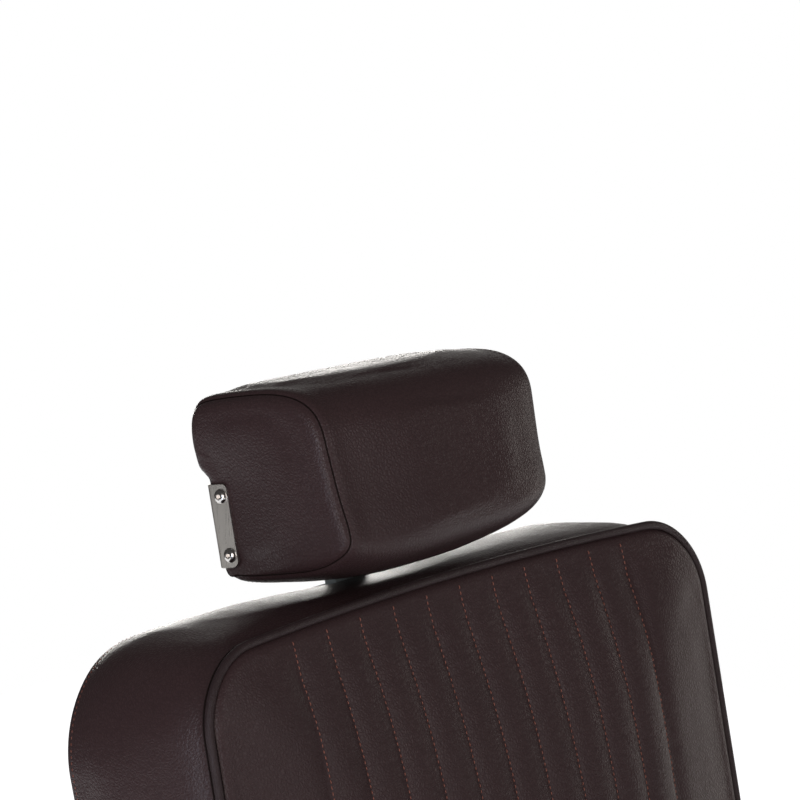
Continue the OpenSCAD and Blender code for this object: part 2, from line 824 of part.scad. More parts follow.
module side_plate(side) {
    sided(side) difference() {
        plate_at(plate_x0, side_plate_t) union() {
            translate([-rail_front, rail_z]) square([rail_len, rail_h]);
            hull() {
                translate([back_pivot_y, back_pivot_z]) circle(r = pivot_lobe_r, $fn = hull_fn);
                translate([rail_rear - lobe_root, rail_z]) square([lobe_root, rail_h]);
            }
            hull() {
                translate([-leg_pivot_y, leg_pivot_z]) circle(r = leg_lobe_r, $fn = hull_fn);
                translate([-rail_front, rail_z]) square([lobe_root, rail_h]);
            }
        }
        translate([0, back_pivot_y, back_pivot_z]) bar_x(shaft_r + running, plate_x0 - cut, plate_x1 + cut);
        translate([0, -leg_pivot_y, leg_pivot_z]) bar_x(shaft_r + running, plate_x0 - cut, plate_x1 + cut);
    }
}

module side_plate_left() { color("dimgray") side_plate(-1); }
module side_plate_right() { color("dimgray") side_plate(1); }

module pivot_shaft() {
    head = arm_x1 + side_gap;
    union() {
        bar_x(shaft_r, -head - shaft_head_t, head + shaft_head_t);
        for (side = [-1, 1]) sided(side) bar_x(shaft_head_r, head, head + shaft_head_t);
    }
}

module back_shaft() {
    color("silver") translate([0, back_pivot_y, back_pivot_z]) pivot_shaft();
}

module legrest_shaft() {
    color("silver") translate([0, -leg_pivot_y, leg_pivot_z]) pivot_shaft();
}

module seat_board() {
    color("burlywood") translate([0, board_margin - seat_front, board_z]) linear_extrude(board_t)
        rounded_rect(seat_w - 2 * board_margin, seat_depth - 2 * board_margin, seat_board_r);
}

module seat_cushion() {
    color("saddlebrown") translate([0, -seat_front, cushion_z + seat_t])
        pad(seat_w, seat_depth, seat_corner_r, flute_lines, flute_depth, panel_puff, panel_roll, 0,
            bands_of(seat_t, band_puff));
}

module side_panel(side) {
    sided(side) difference() {
        plate_at(panel_x0, panel_t)
            translate([(panel_y0 + panel_y1) / 2, board_z + board_t - panel_h - panel_drop])
                rounded_rect(panel_y1 - panel_y0, panel_h, panel_corner_r);
        for (y = [arm_bolt_front, arm_bolt_rear]) translate([0, y, arm_bar_z])
            bar_x(arm_bolt_r + running, panel_x0 - cut, panel_x0 + panel_t + cut);
        if (side > 0) translate([0, release_y, release_z])
            bar_x(release_shaft_r + running, panel_x0 - cut, panel_x0 + panel_t + cut);
    }
}

module side_panel_left() { color("saddlebrown") side_panel(-1); }
module side_panel_right() { color("saddlebrown") side_panel(1); }

// Armrests

// A closed tube of radius r along a counterclockwise outline in the X-Y plane, bent at each corner
module tube_loop(p, bend, r) {
    n = len(p);
    dirs = [for (i = [0 : n - 1]) let (d = p[(i + 1) % n] - p[i]) d / norm(d)];
    stations = [for (i = [0 : n - 1]) let (
        a = dirs[(i + n - 1) % n],
        b = dirs[i],
        turn = atan2(a[0] * b[1] - a[1] * b[0], a * b),
        middle = p[i] - a * bend * tan(turn / 2) + bend * [-a[1], a[0]]
    ) for (k = [0 : bend_steps]) let (heading = atan2(a[1], a[0]) + turn * k / bend_steps)
        [middle + bend * [sin(heading), -cos(heading)], heading]];
    m = len(stations);
    rings = [for (s = stations, q = [0 : tube_sides - 1]) let (t = 360 * q / tube_sides)
        [s[0][0] - r * cos(t) * sin(s[1]), s[0][1] + r * cos(t) * cos(s[1]), r * sin(t)]];
    walls = [for (k = [0 : m - 1], q = [0 : tube_sides - 1]) let (
        t = (q + 1) % tube_sides, a = k * tube_sides, b = ((k + 1) % m) * tube_sides
    ) each [[a + q, b + q, b + t], [a + q, b + t, a + t]]];
    polyhedron(points = rings, faces = walls, convexity = 4);
}

module arm_loop(side) {
    outline = [[arm_loop_front, arm_bar_z], [arm_loop_rear, arm_bar_z],
        [arm_loop_rear + arm_loop_flare, arm_top_z], [arm_loop_front - arm_loop_rake, arm_top_z]];
    sided(side) difference() {
        translate([arm_x, 0, 0]) rotate([90, 0, 90]) tube_loop(outline, arm_bend_r, arm_tube_r);
        for (y = [arm_bolt_front, arm_bolt_rear]) translate([0, y, arm_bar_z])
            bar_x(arm_screw_r + running, arm_x - arm_tube_r - cut, arm_x + arm_tube_r + cut);
    }
}

module arm_loop_left() { color("silver") arm_loop(-1); }
module arm_loop_right() { color("silver") arm_loop(1); }

module arm_pad(side) {
    sided(side) translate([arm_x, -arm_pad_front, arm_pad_z + arm_pad_t])
        pad(arm_pad_w, arm_pad_len, arm_pad_r, 0, 0, panel_puff * 0.8, arm_pad_r, 0,
            bands_of(arm_pad_t, band_puff / 2));
}

module arm_pad_left() { color("saddlebrown") arm_pad(-1); }
module arm_pad_right() { color("saddlebrown") arm_pad(1); }

module arm_bolts() {
    inner = arm_x - arm_tube_r;
    outer = arm_x + arm_tube_r;
    color("silver") for (side = [-1, 1], y = [arm_bolt_front, arm_bolt_rear])
        sided(side) translate([0, y, arm_bar_z]) union() {
            bar_x(arm_bolt_r, plate_x1, inner);
            bar_x(arm_screw_r, inner - cut, outer + arm_head_t);
            bar_x(arm_head_r, outer, outer + arm_head_t);
        }
}

// Recline mechanism

module recline_cylinder() {
    gland_r0 = cylinder_r - gland_step;
    color("gray") difference() {
        union() {
            translate([-rod_x, cylinder_rear - cylinder_len, rod_z]) rotate([-90, 0, 0])
                cylinder(r = cylinder_r, h = cylinder_len - gland_len);
            translate([-rod_x, cylinder_rear - gland_len - cut, rod_z]) rotate([-90, 0, 0])
                cylinder(r = gland_r0, h = gland_len + cut);
            for (y = [cylinder_rear - cylinder_len + saddle_inset, cylinder_rear - gland_len - saddle_inset])
                translate([-rod_x, y - saddle_len / 2, rod_z - rod_r])
                    cube([rod_x - plate_x1, saddle_len, 2 * rod_r]);
        }
        translate([-rod_x, cylinder_rear - cylinder_len + gland_len, rod_z]) rotate([-90, 0, 0])
            cylinder(r = rod_r + running, h = cylinder_len);
    }
}

module recline_rod() {
    slot_w = 2 * (crank_pin_r + yoke_gap);
    slot_h = pin_rest_z - pin_low_z + slot_w;
    rod_front = cylinder_rear - cylinder_len + gland_len + rod_stroke + rod_end / 2;
    color("silver") difference() {
        union() {
            translate([-rod_x, rod_front, rod_z]) rotate([-90, 0, 0])
                cylinder(r = rod_r, h = pin_rest_y - yoke_w / 2 - rod_front + cut);
            translate([-yoke_x0 - yoke_t, pin_rest_y - yoke_w / 2, rod_z - slot_h / 2 - yoke_wall])
                cube([yoke_t, yoke_w, slot_h + 2 * yoke_wall]);
        }
        translate([-yoke_x0 - yoke_t - cut, pin_rest_y - slot_w / 2, rod_z - slot_h / 2])
            cube([yoke_t + 2 * cut, slot_w, slot_h]);
    }
}

module release_lever() {
    arm_x_in = panel_x0 + panel_t + release_gap;
    end = [release_len * -cos(release_angle), release_len * -sin(release_angle)];
    color("silver") translate([0, release_y, release_z]) union() {
        bar_x(release_shaft_r, plate_x1, arm_x_in + release_arm_t);
        plate_at(arm_x_in, release_arm_t) lobe([0, 0], end, release_hub_r, release_end_r);
    }
}

module release_knob() {
    knob_x = panel_x0 + panel_t + release_gap + release_arm_t;
    color("black") translate([0, release_y - release_len * cos(release_angle),
        release_z - release_len * sin(release_angle)]) rotate([0, 90, 0]) translate([0, 0, knob_x])
        rotate_extrude() polygon([[0, 0], [knob_r * 0.7, 0], [knob_r, knob_len * 0.4],
            [knob_r, knob_len * 0.8], [knob_r * 0.8, knob_len], [0, knob_len]]);
}

module sync_link() {
    rear = [back_pivot_y + crank * sin(crank_angle), back_pivot_z - crank * cos(crank_angle)];
    front = [-leg_pivot_y + crank * sin(crank_angle), leg_pivot_z - crank * cos(crank_angle)];
    color("silver") difference() {
        plate_at(link_x0, link_t) lobe(rear, front, crank_lobe_r - cut, crank_lobe_r - cut);
        translate([0, rear[0], rear[1]]) bar_x(crank_pin_r + running, link_x0 - cut, link_x1 + cut);
        translate([0, front[0], front[1]]) bar_x(crank_pin_r + soft_gap, link_x0 - cut, link_x1 + cut);
    }
}

// Back

// A crank lobe and its welded pin, about a pivot at the origin of a frame turned by turn degrees
module crank_outline(turn) {
    lobe([0, 0], crank * [sin(turn), -cos(turn)], crank_root_r, crank_lobe_r);
}

module back_arm(side) {
    turn = crank_angle + lean;
    sided(side) difference() {
        union() {
            plate_at(arm_x0, arm_t) union() {
                lobe([0, 0], [back_step_y, back_step_z], crank_root_r, back_arm_r);
                lobe([back_step_y, back_step_z], [back_step_y, back_arm_top], back_arm_r, back_arm_r);
                crank_outline(turn);
            }
            translate([0, crank * sin(turn), -crank * cos(turn)]) {
                if (side > 0) union() {
                    bar_x(crank_pin_r, arm_x0, link_x1 + side_gap + pin_head_t);
                    bar_x(pin_head_r, link_x1 + side_gap, link_x1 + side_gap + pin_head_t);
                }
                else bar_x(crank_pin_r, arm_x0, yoke_x0 + yoke_t + pin_head_t);
            }
        }
        bar_x(shaft_r + running + bush_wall, arm_x0 - cut, arm_x1 + cut);
    }
}

module back_arm_left() { color("dimgray") at_back_pivot() back_arm(-1); }
module back_arm_right() { color("dimgray") at_back_pivot() back_arm(1); }

module pivot_bushes() {
    r = shaft_r + running;
    color("goldenrod") at_back_pivot() for (side = [-1, 1]) sided(side) difference() {
        union() {
            bar_x(r + bush_wall, arm_x0 - side_gap / 2, arm_x1 + side_gap / 2);
            bar_x(bush_flange_r, arm_x0 - 0.8 * side_gap, arm_x0);
        }
        bar_x(r, arm_x0 - 2 * side_gap, arm_x1 + 2 * side_gap);
    }
}

module back_cross_tubes() {
    color("dimgray") at_back_pivot() for (z = [tube_low, tube_high])
        translate([0, board_rear + tube_r, z]) bar_x(tube_r, -arm_x0, arm_x0);
}

module back_board() {
    color("burlywood") at_back_pivot()
        translate([0, board_rear, back_low + back_rim + soft_gap]) rotate([90, 0, 0])
            linear_extrude(board_t) rounded_rect(back_w - 2 * (back_rim + soft_gap),
                back_h - 2 * (back_rim + soft_gap) - arch_rise, back_corner_r);
}

module back_cushion() {
    depth = back_front + back_rear;
    floor_depth = back_front + pocket_floor;
    slot_x = bar_w / 2 + slide_gap + guide_wall + soft_gap;
    color("saddlebrown") at_back_pivot() difference() {
        translate([0, -back_front, back_low]) rotate([90, 0, 0])
            pad(back_w, back_h, back_corner_r, flute_lines, flute_depth, panel_puff, panel_roll, arch_rise,
                concat(bands_of(depth, band_puff), [[-back_rim, depth], [-back_rim, floor_depth]]));
        translate([-slot_x, guide_y0 - soft_gap, back_top - 2 * back_rim])
            cube([2 * slot_x, guide_y1 - guide_y0 + 2 * soft_gap, 3 * back_rim]);
        for (side = [-1, 1]) sided(side)
            translate([arm_x0 - arm_slot_gap, back_step_y - back_arm_r - arm_slot_gap, back_low - back_rim])
                cube([arm_t + 2 * arm_slot_gap, 2 * (back_arm_r + arm_slot_gap), 3 * back_rim]);
    }
}

module back_rear_panel() {
    w = back_w - 2 * rear_panel_inset;
    h = back_h - 2 * rear_panel_inset;
    r = back_corner_r - rear_panel_inset;
    color("saddlebrown") at_back_pivot()
        translate([0, back_rear + soft_gap + rear_panel_t, back_low + rear_panel_inset]) rotate([90, 0, 180])
            pad(w, h, r, 0, 0, rear_panel_puff, panel_roll, arch_rise, [[0, rear_panel_t]]);
}

module headrest_guide() {
    x_in = bar_w / 2 + slide_gap;
    x_out = x_in + guide_wall;
    top = back_top - guide_top_gap;
    color("gray") at_back_pivot() difference() {
        union() {
            translate([-x_out, guide_y0, top - guide_len])
                cube([2 * x_out, guide_y1 - guide_y0, guide_len]);
            for (z = [top - guide_len, top - guide_len / 2])
                translate([-x_out - guide_tab_w, guide_y0, z])
                    cube([2 * (x_out + guide_tab_w), guide_wall, guide_tab_h]);
        }
        translate([-x_in, bar_y0 - slide_gap, top - guide_len - cut])
            cube([2 * x_in, bar_t + 2 * slide_gap, guide_len + 2 * cut]);
    }
}

// Legrest and footplate

module legrest_arm(side) {
    turn = crank_angle + leg_tilt;
    sided(side) difference() {
        union() {
            plate_at(arm_x0, arm_t) union() {
                lobe([0, 0], [0, foot_forward - leg_len], leg_hub_r, leg_end_r);
                lobe([0, foot_forward - leg_len], [-foot_forward, -leg_len], leg_end_r, leg_end_r);
                if (side > 0) lobe([0, 0], crank * [sin(turn), -cos(turn)], leg_hub_r, crank_lobe_r);
            }
            if (side > 0) translate([0, crank * sin(turn), -crank * cos(turn)]) {
                bar_x(crank_pin_r, arm_x0, link_x1 + side_gap + pin_head_t);
                bar_x(pin_head_r, link_x1 + side_gap, link_x1 + side_gap + pin_head_t);
            }
        }
        bar_x(shaft_r + running, arm_x0 - cut, arm_x1 + cut);
        translate([0, -foot_forward, -leg_len]) bar_x(foot_pin_r + running, arm_x0 - cut, arm_x1 + cut);
    }
}

module legrest_arm_left() { color("dimgray") at_leg_pivot() legrest_arm(-1); }
module legrest_arm_right() { color("dimgray") at_leg_pivot() legrest_arm(1); }

module legrest_bars() {
    color("dimgray") at_leg_pivot() for (z = [leg_bar_high, leg_bar_low])
        translate([0, 0, -z]) bar_x(leg_bar_r, -arm_x0, arm_x0);
}

module legrest_board() {
    color("burlywood") at_leg_pivot() translate([0, -leg_board_gap, -leg_pad_top - leg_pad_h + board_margin])
        rotate([90, 0, 0]) linear_extrude(board_t)
            rounded_rect(leg_pad_w - 2 * board_margin, leg_pad_h - 2 * board_margin, board_margin);
}

module legrest_pad() {
    seat_y = leg_board_gap + board_t + soft_gap + leg_pad_t;
    color("saddlebrown") at_leg_pivot() translate([0, -seat_y, -leg_pad_top - leg_pad_h])
        rotate([90, 0, 0]) pad(leg_pad_w, leg_pad_h, 2 * board_margin, leg_lines, flute_depth,
            panel_puff, panel_roll, 0, bands_of(leg_pad_t, band_puff * 0.6));
}

module footplate() {
    half = arm_x0 - foot_knuckle_gap;
    color("silver") at_foot_hinge() difference() {
        union() {
            bar_x(foot_knuckle_r, -half, half);
            translate([0, 0, -foot_t / 2]) linear_extrude(foot_t) difference() {
                translate([0, -foot_len]) rounded_rect(foot_w, foot_len + foot_corner_r, foot_corner_r);
                translate([-foot_w, 0]) square([2 * foot_w, foot_len]);
            }
            translate([0, 0, -foot_t / 2 - rim_h]) linear_extrude(rim_h + cut) difference() {
                translate([0, -foot_len]) rounded_rect(foot_w, foot_len + foot_corner_r, foot_corner_r);
                translate([0, rim_t - foot_len])
                    rounded_rect(foot_w - 2 * rim_t, foot_len + foot_corner_r, foot_corner_r - rim_t);
                translate([-foot_w, 0]) square([2 * foot_w, foot_len]);
            }
        }
        bar_x(foot_pin_r + running, -half - cut, half + cut);
    }
}

module foot_tread() {
    w = foot_w - 2 * tread_margin;
    run = foot_len - foot_knuckle_r - 2 * tread_margin;
    color("black") at_foot_hinge() translate([-w / 2, -foot_len + tread_margin, foot_t / 2]) union() {
        cube([w, run, tread_t]);
        for (i = [0 : tread_ribs - 1]) translate([0, (i + 0.25) * run / tread_ribs, tread_t / 2])
            cube([w, run / tread_ribs / 2, tread_t / 2 + tread_rib_h]);
    }
}

module foot_hinge_pin() {
    head = arm_x1 + soft_gap;
    color("gray") at_foot_hinge() union() {
        bar_x(foot_pin_r, -head - shaft_head_t, head + shaft_head_t);
        for (side = [-1, 1]) sided(side) bar_x(foot_pin_r + shaft_head_t, head, head + shaft_head_t);
    }
}

// Headrest

module headrest_bar() {
    color("silver") at_back_pivot() difference() {
        union() {
            translate([-bar_w / 2, bar_y0, back_top - bar_inside])
                cube([bar_w, bar_t, head_pin_z - back_top + bar_inside]);
            translate([0, bar_mid, head_pin_z]) bar_x(bar_t / 2, -bar_w / 2, bar_w / 2);
        }
        translate([0, bar_mid, head_pin_z]) bar_x(head_pin_r + running, -bar_w, bar_w);
    }
}

module headrest_pin() {
    color("gray") at_back_pivot() translate([0, bar_mid, head_pin_z]) bar_x(head_pin_r, -ear_x1, ear_x1);
}

module headrest_bracket() {
    half = head_w / 2 + soft_gap;
    z0 = head_z0 + bracket_low;
    z1 = head_z0 + bracket_high;
    front = bracket_rear - bracket_flange;
    color("silver") at_back_pivot() difference() {
        union() {
            translate([-half - bracket_t, bracket_inner, z0])
                cube([2 * (half + bracket_t), bracket_t, bracket_high - bracket_low]);
            for (side = [-1, 1]) sided(side) {
                plate_at(half, bracket_t) polygon([[front + bracket_corner, z0], [bracket_inner, z0],
                    [bracket_inner, z1], [front + bracket_corner / 2, z1],
                    [front, z1 - bracket_corner], [front, z0 + bracket_corner]]);
                translate([ear_x0, bracket_inner - bar_t, head_pin_z - bar_t])
                    cube([ear_w, bar_t + bracket_t / 2, 2 * bar_t]);
            }
        }
        translate([-ear_x0, bracket_inner - cut, z0 - cut])
            cube([2 * ear_x0, bracket_t + 2 * cut, head_pin_z - z0 + bar_t / 2 + cut]);
        translate([0, bar_mid, head_pin_z]) bar_x(head_pin_r, -ear_x1 - cut, ear_x1 + cut);
        for (side = [-1, 1], z = [z0 + screw_low, z1 - screw_low]) sided(side)
            translate([0, front + screw_front, z]) bar_x(screw_r + running, half - cut, half + bracket_t + cut);
    }
}

module headrest_screws() {
    half = head_w / 2 + soft_gap + bracket_t;
    z0 = head_z0 + bracket_low;
    z1 = head_z0 + bracket_high;
    color("gray") at_back_pivot() for (side = [-1, 1], z = [z0 + screw_low, z1 - screw_low])
        sided(side) translate([0, bracket_rear - bracket_flange + screw_front, z]) union() {
            bar_x(screw_r, half - screw_len, half + screw_head_h / 2);
            translate([half, 0, 0]) rotate([0, 90, 0]) rotate_extrude() polygon([[0, 0],
                [screw_head_r, 0], [screw_head_r * 0.8, screw_head_h * 0.7],
                [screw_head_r * 0.4, screw_head_h], [0, screw_head_h]]);
        }
}

// How far a place on the side profile is drawn in at the cushion's ends
function end_roll(p) = head_roll * max(0, 1 - 2 * p[0] / head_depth) * (1 - p[1] / head_h);

// The wrapped cushion as rings of its side profile, swelling from the end seams to the middle
module headrest_form() {
    outline = cut_corners([for (s = head_shares) [s[0] * head_depth, s[1] * head_h]]);
    centre = [head_depth / 2, head_h / 2];
    still = head_still_share * head_h;
    n = len(outline);
    m = len(head_station_shares);
    rings = [for (k = [0 : m - 1], p = outline) let (
        grow = 1 + head_swell * head_swell_shares[k] / norm(centre),
        flat = p[0] > 0.9 * head_depth && p[1] < 0.57 * head_h,
        slim = 1 - head_taper_share * (1 + head_station_shares[k]) / 2,
        y = centre[0] + (p[0] - centre[0]) * grow + end_roll(p) * head_roll_shares[k],
        z = still + (centre[1] - still + (p[1] - centre[1]) * grow) * slim
    ) [head_station_shares[k] * (head_w / 2 - end_roll(p)), flat ? p[0] : y, flat ? p[1] : z]];
    ends = [[-head_w / 2, centre[0], centre[1]], [head_w / 2, centre[0], centre[1]]];
    walls = [for (k = [0 : m - 2], q = [0 : n - 1]) let (t = (q + 1) % n, a = k * n, b = a + n)
        each [[a + q, b + t, a + t], [a + q, b + q, b + t]]];
    caps = [for (q = [0 : n - 1]) let (t = (q + 1) % n)
        each [[m * n, q, t], [m * n + 1, (m - 1) * n + t, (m - 1) * n + q]]];
    polyhedron(points = concat(rings, ends), faces = concat(walls, caps), convexity = 4);
}

module headrest_cushion() {
    pocket_x = ear_x1 + soft_gap;
    pocket_y = bracket_inner - pocket_deep;
    color("saddlebrown") at_back_pivot() difference() {
        translate([0, head_y0, head_z0]) headrest_form();
        translate([-pocket_x, pocket_y, head_z0 - head_swell * 3])
            cube([2 * pocket_x, pocket_deep + bracket_flange, pocket_up + head_swell * 3]);
        for (side = [-1, 1], z = [head_z0 + bracket_low + screw_low, head_z0 + bracket_high - screw_low])
            sided(side) translate([0, bracket_rear - bracket_flange + screw_front, z])
                bar_x(screw_r + running, head_w / 2 - screw_len, head_w / 2 + cut);
    }
}

base_plate();
base_ring();
base_cover();
pump_housing();
pump_collar();
pump_gland();
flange_bolts();
lever_bracket();
pump_lever_arm();
pump_lever_pin();
pump_lever_pad();
lift_ram();
lift_piston();
piston_seal();
thrust_bearing();
swivel_hub();
hub_bolts();
side_rail_left();
side_rail_right();
cross_tubes();
side_plate_left();
side_plate_right();
back_shaft();
legrest_shaft();
seat_board();
seat_cushion();
side_panel_left();
side_panel_right();
arm_loop_left();
arm_loop_right();
arm_pad_left();
arm_pad_right();
arm_bolts();
recline_cylinder();
release_lever();
release_knob();
back_arm_left();
back_arm_right();
pivot_bushes();
back_cross_tubes();
back_board();
back_cushion();
back_rear_panel();
headrest_guide();
recline_rod();
sync_link();
legrest_arm_left();
legrest_arm_right();
legrest_bars();
legrest_board();
legrest_pad();
footplate();
foot_tread();
foot_hinge_pin();
headrest_bar();
headrest_cushion();
headrest_bracket();
headrest_screws();
headrest_pin();
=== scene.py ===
"""The looks of the barber chair: leather upholstery, stitching, chrome, steel and a white studio.

Lengths are in metres where a comment doesn't say mm. X is across the chair, -Y is its front, +Z is up.
"""

import json
import math

import bmesh
import bpy
import numpy as np
from mathutils import Matrix, Vector
from mathutils.bvhtree import BVHTree
from mathutils.kdtree import KDTree


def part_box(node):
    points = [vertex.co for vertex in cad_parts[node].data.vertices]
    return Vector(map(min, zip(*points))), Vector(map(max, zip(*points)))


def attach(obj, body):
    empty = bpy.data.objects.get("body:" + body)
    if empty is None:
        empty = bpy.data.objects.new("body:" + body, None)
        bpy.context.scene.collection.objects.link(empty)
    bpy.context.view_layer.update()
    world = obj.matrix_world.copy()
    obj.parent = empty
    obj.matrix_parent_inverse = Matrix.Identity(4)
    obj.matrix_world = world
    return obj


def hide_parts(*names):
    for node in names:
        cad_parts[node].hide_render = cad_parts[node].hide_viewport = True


MM = 0.001
SIDES = (("left", -1), ("right", 1))

# Camera: almost parallel view of the headrest and the top of the back
VIEW_AZIMUTH = math.radians(-50)
VIEW_ELEVATION = math.radians(13)
VIEW_WIDTH = 533.3 * MM
VIEW_DISTANCE = 5.0
VIEW_TARGET = Vector((0, 363 * MM, 1172 * MM))
SENSOR = 36.0

# Studio: lamps as (name, place, target, size, watts, colour), then what glossy rays see round the chair
LAMPS = (("key", (0.6, -3.2, 2.0), (0, 0.1, 0.9), (1.6, 1.6), 22, (1.0, 0.98, 0.96)),
         ("fill", (-3.1, -1.3, 1.5), (0, 0.1, 0.9), (2.2, 2.2), 45, (1.0, 0.9, 0.84)),
         ("strip", (-3.0, -0.5, 0.9), (0, 0.1, 0.9), (0.35, 2.2), 22, (0.6, 0.75, 1.0)),
         ("side", (3.0, 0.15, 0.8), (0, 0.1, 0.95), (0.5, 1.6), 6.5, (1.0, 0.93, 0.87)),
         ("rim", (2.0, 2.7, 0.8), (0, 0.1, 0.95), (1.3, 0.3), 19, (1.0, 0.97, 0.93)))
BACKDROP_AT = (0.76, 0.64, -0.1)
BACKDROP_EDGE = ((0.92, (0.07, 0.066, 0.064)), (0.985, (1, 0.97, 0.93)))
ROOM_LIGHT = (0.38, 0.38, 0.39)
FLOOR_SIZE = 3.0
FLOOR_DROP = -0.5 * MM
FLOOR_REACH = (0.4, 1.8)
FLOOR_GLOW = (0.3, 0.8)

# Leather
GRAIN = 390.0
CREASES = 760.0
WOBBLE = 210.0
WARP = (0.0026, 0.0026, 0.0026)

# Leaned frames of the back and the legrest
BACK_PIVOT = (245 * MM, 425.3 * MM)
LEG_PIVOT = (-240 * MM, 376.3 * MM)
LEAN = math.radians(12)
LEG_TILT = math.radians(20)

# Upholstery
GAP = 0.3 * MM
FLUTE_PITCH = 34.2 * MM
FLUTE_DEPTH = 2.4 * MM
PIPING_R = 3.1 * MM
STITCH_PITCH = 4.0 * MM
STITCH_LEN = 2.7 * MM
THREAD_R = 0.38 * MM
TOPSTITCH_INSET = 5.5 * MM
PANEL_PUFF = 12 * MM
BACK_PUFF = 16 * MM
PANEL_DOME = 10 * MM
PANEL_ROLL = 40 * MM
BAND_PUFF = 5 * MM
BAND_CREST = 0.6
BAND_ROLL = 0.24
BAND_LEAN = 3.4 * MM
DEEP_BAND = 60 * MM
# How a deep band tucks in below its piping, as (outward, down) in mm, and a low one in piping radii
BAND_TUCK = ((-1.2, 1.7), (-2.2, 3.0), (-1.7, 3.7), (-1.3, 4.6), (-1.6, 5.5), (-2.9, 6.2), (-2.7, 6.9))
BAND_LIP = ((0.05, 0.55), (0.35, 1.15), (0.5, 1.4), (0.3, 1.75))
PUCKER = 0.16
PUCKER_END = 0.5
PUCKER_REACH = 24 * MM
SAG_REACH = 48 * MM
# Near-black tubes beside the piping paint the shadow in its grooves: their radius, and their (outward, up)
# places in piping radii
SEAM_SHADOW_R = 0.7 * MM
SEAM_SHADOW_SPOTS = ((-1.12, 0.42), (0.62, -1.0))

# Back cushion and its rear panel, in the back's frame
BACK_W = 514 * MM
BACK_H = 575 * MM
BACK_T = 125 * MM
BACK_R = 50 * MM
BACK_REAR_R = 70 * MM
BACK_ARCH = 9.5 * MM
BACK_FLUTES = 11
BACK_BAND_PUFF = 6 * MM
BACK_DIP = 3 * MM
# Where the rear top edge stands higher or lower, as (across, up) in mm
BACK_REAR_LINE = ((-257, 3.2), (-229, 3.8), (-190, 3.3), (-144, 3.3), (-115, 2.0), (-85, -0.6), (-57, -2.8),
                  (-20, -4.2), (10, -2.6), (50, 0), (257, 0))
BACK_FRONT = 60 * MM
BACK_LOW = 60 * MM
BACK_RIM = 22 * MM
POCKET_FLOOR = 12.7 * MM
BACK_TOP = BACK_LOW + BACK_H
BAR_SLOT = (20 * MM, 24.7 * MM, 42.7 * MM)
ARM_SLOT = (210.5 * MM, 221.5 * MM, 26.5 * MM, 61.5 * MM)
REAR_INSET = 5 * MM
REAR_T = 3 * MM
REAR_PUFF = 5 * MM

# Seat cushion
SEAT_W = 524 * MM
SEAT_DEPTH = 438 * MM
SEAT_T = 112 * MM
SEAT_R = 40 * MM
SEAT_FLUTES = 11
SEAT_FRONT = 262 * MM

# Legrest pad
LEG_W = 400 * MM
LEG_H = 250 * MM
LEG_T = 42 * MM
LEG_R = 24 * MM
LEG_FLUTES = 9
LEG_TOP = 42 * MM
LEG_BOARD_FACE = 20 * MM

# Arm pads and loops
ARM_X = 302 * MM
ARM_W = 64 * MM
ARM_LEN = 400 * MM
ARM_T = 34 * MM
ARM_R = 30 * MM
ARM_FRONT = 232 * MM
ARM_TUBE_R = 12 * MM
ARM_BEND = 40 * MM
ARM_CORNERS_Y = (-175 * MM, 150 * MM, 165 * MM, -215 * MM)

# Base, in mm
PLATE_T = 10
COVER_TOP = 58

# Side panels
SIDE_R = 16 * MM
SIDE_PUFF = 1.0 * MM
SIDE_ROLL = 9 * MM
ARM_BOLT_HOLE = 8.05 * MM
RELEASE_HOLE = 7.05 * MM
ARM_BOLTS_Y = (-150 * MM, 110 * MM)
ARM_BOLT_Z = 385.3 * MM
RELEASE_AT = (20 * MM, 376.3 * MM)

# Headrest, in the back's frame
HEAD_W = 224 * MM
HEAD_DEPTH = 124.2 * MM
HEAD_H = 124.8 * MM
HEAD_Y0 = -BACK_FRONT - 16.5 * MM
HEAD_Z0 = BACK_TOP + 20.6 * MM
BRACKET_LOW = 10.5 * MM
BRACKET_HIGH = 67 * MM
BRACKET_REAR = 41.2 * MM
BRACKET_FLANGE = 18 * MM
BRACKET_T = 2 * MM
SCREW_FRONT = 6 * MM
SCREW_INSET = 8.4 * MM
SCREW_R = 5 * MM
BAR_T = 10 * MM
EAR_IN = 17 * MM
EAR_W = 5 * MM
HEAD_PIN_Z = 695.6 * MM

# Side profile of the headrest as shares of its depth and height
HEAD_SHARES = [(0.261, 0.007), (0.567, 0), (0.833, 0.002), (0.905, 0.03), (0.929, 0.085),
               (0.929, 0.32), (0.929, 0.56), (0.94, 0.575), (0.985, 0.6), (1, 0.777), (0.975, 0.925),
               (0.911, 0.985), (0.688, 1), (0.406, 1), (0.204, 0.949), (0.085, 0.829), (0.061, 0.609),
               (0.036, 0.39), (0, 0.224), (0.002, 0.144), (0.067, 0.076)]


def lean_frame(pivot, angle):
    return Matrix.Translation((0, pivot[0], pivot[1])) @ Matrix.Rotation(-angle, 4, "X")


BACK = lean_frame(BACK_PIVOT, LEAN)
LEG = lean_frame(LEG_PIVOT, LEG_TILT)
UPRIGHT = Matrix.Rotation(math.radians(90), 4, "X")


# Camera, world and lamps

def set_camera():
    data = bpy.data.cameras.new("camera")
    data.sensor_width = SENSOR
    data.lens = SENSOR * VIEW_DISTANCE / VIEW_WIDTH
    data.clip_end = 100
    camera = add_object("camera", data)
    toward = Vector((math.sin(VIEW_AZIMUTH) * math.cos(VIEW_ELEVATION),
                     -math.cos(VIEW_AZIMUTH) * math.cos(VIEW_ELEVATION),
                     math.sin(VIEW_ELEVATION)))
    camera.location = VIEW_TARGET + toward * VIEW_DISTANCE
    camera.rotation_euler = toward.to_track_quat("Z", "Y").to_euler()
    bpy.context.scene.camera = camera


def lamp(name, place, target, size, power, colour):
    data = bpy.data.lights.new(name, "AREA")
    data.shape = "RECTANGLE"
    data.size, data.size_y = size
    data.energy = power
    data.color = colour
    obj = add_object(name, data)
    obj.location = place
    obj.rotation_euler = (Vector(place) - Vector(target)).to_track_quat("Z", "Y").to_euler()


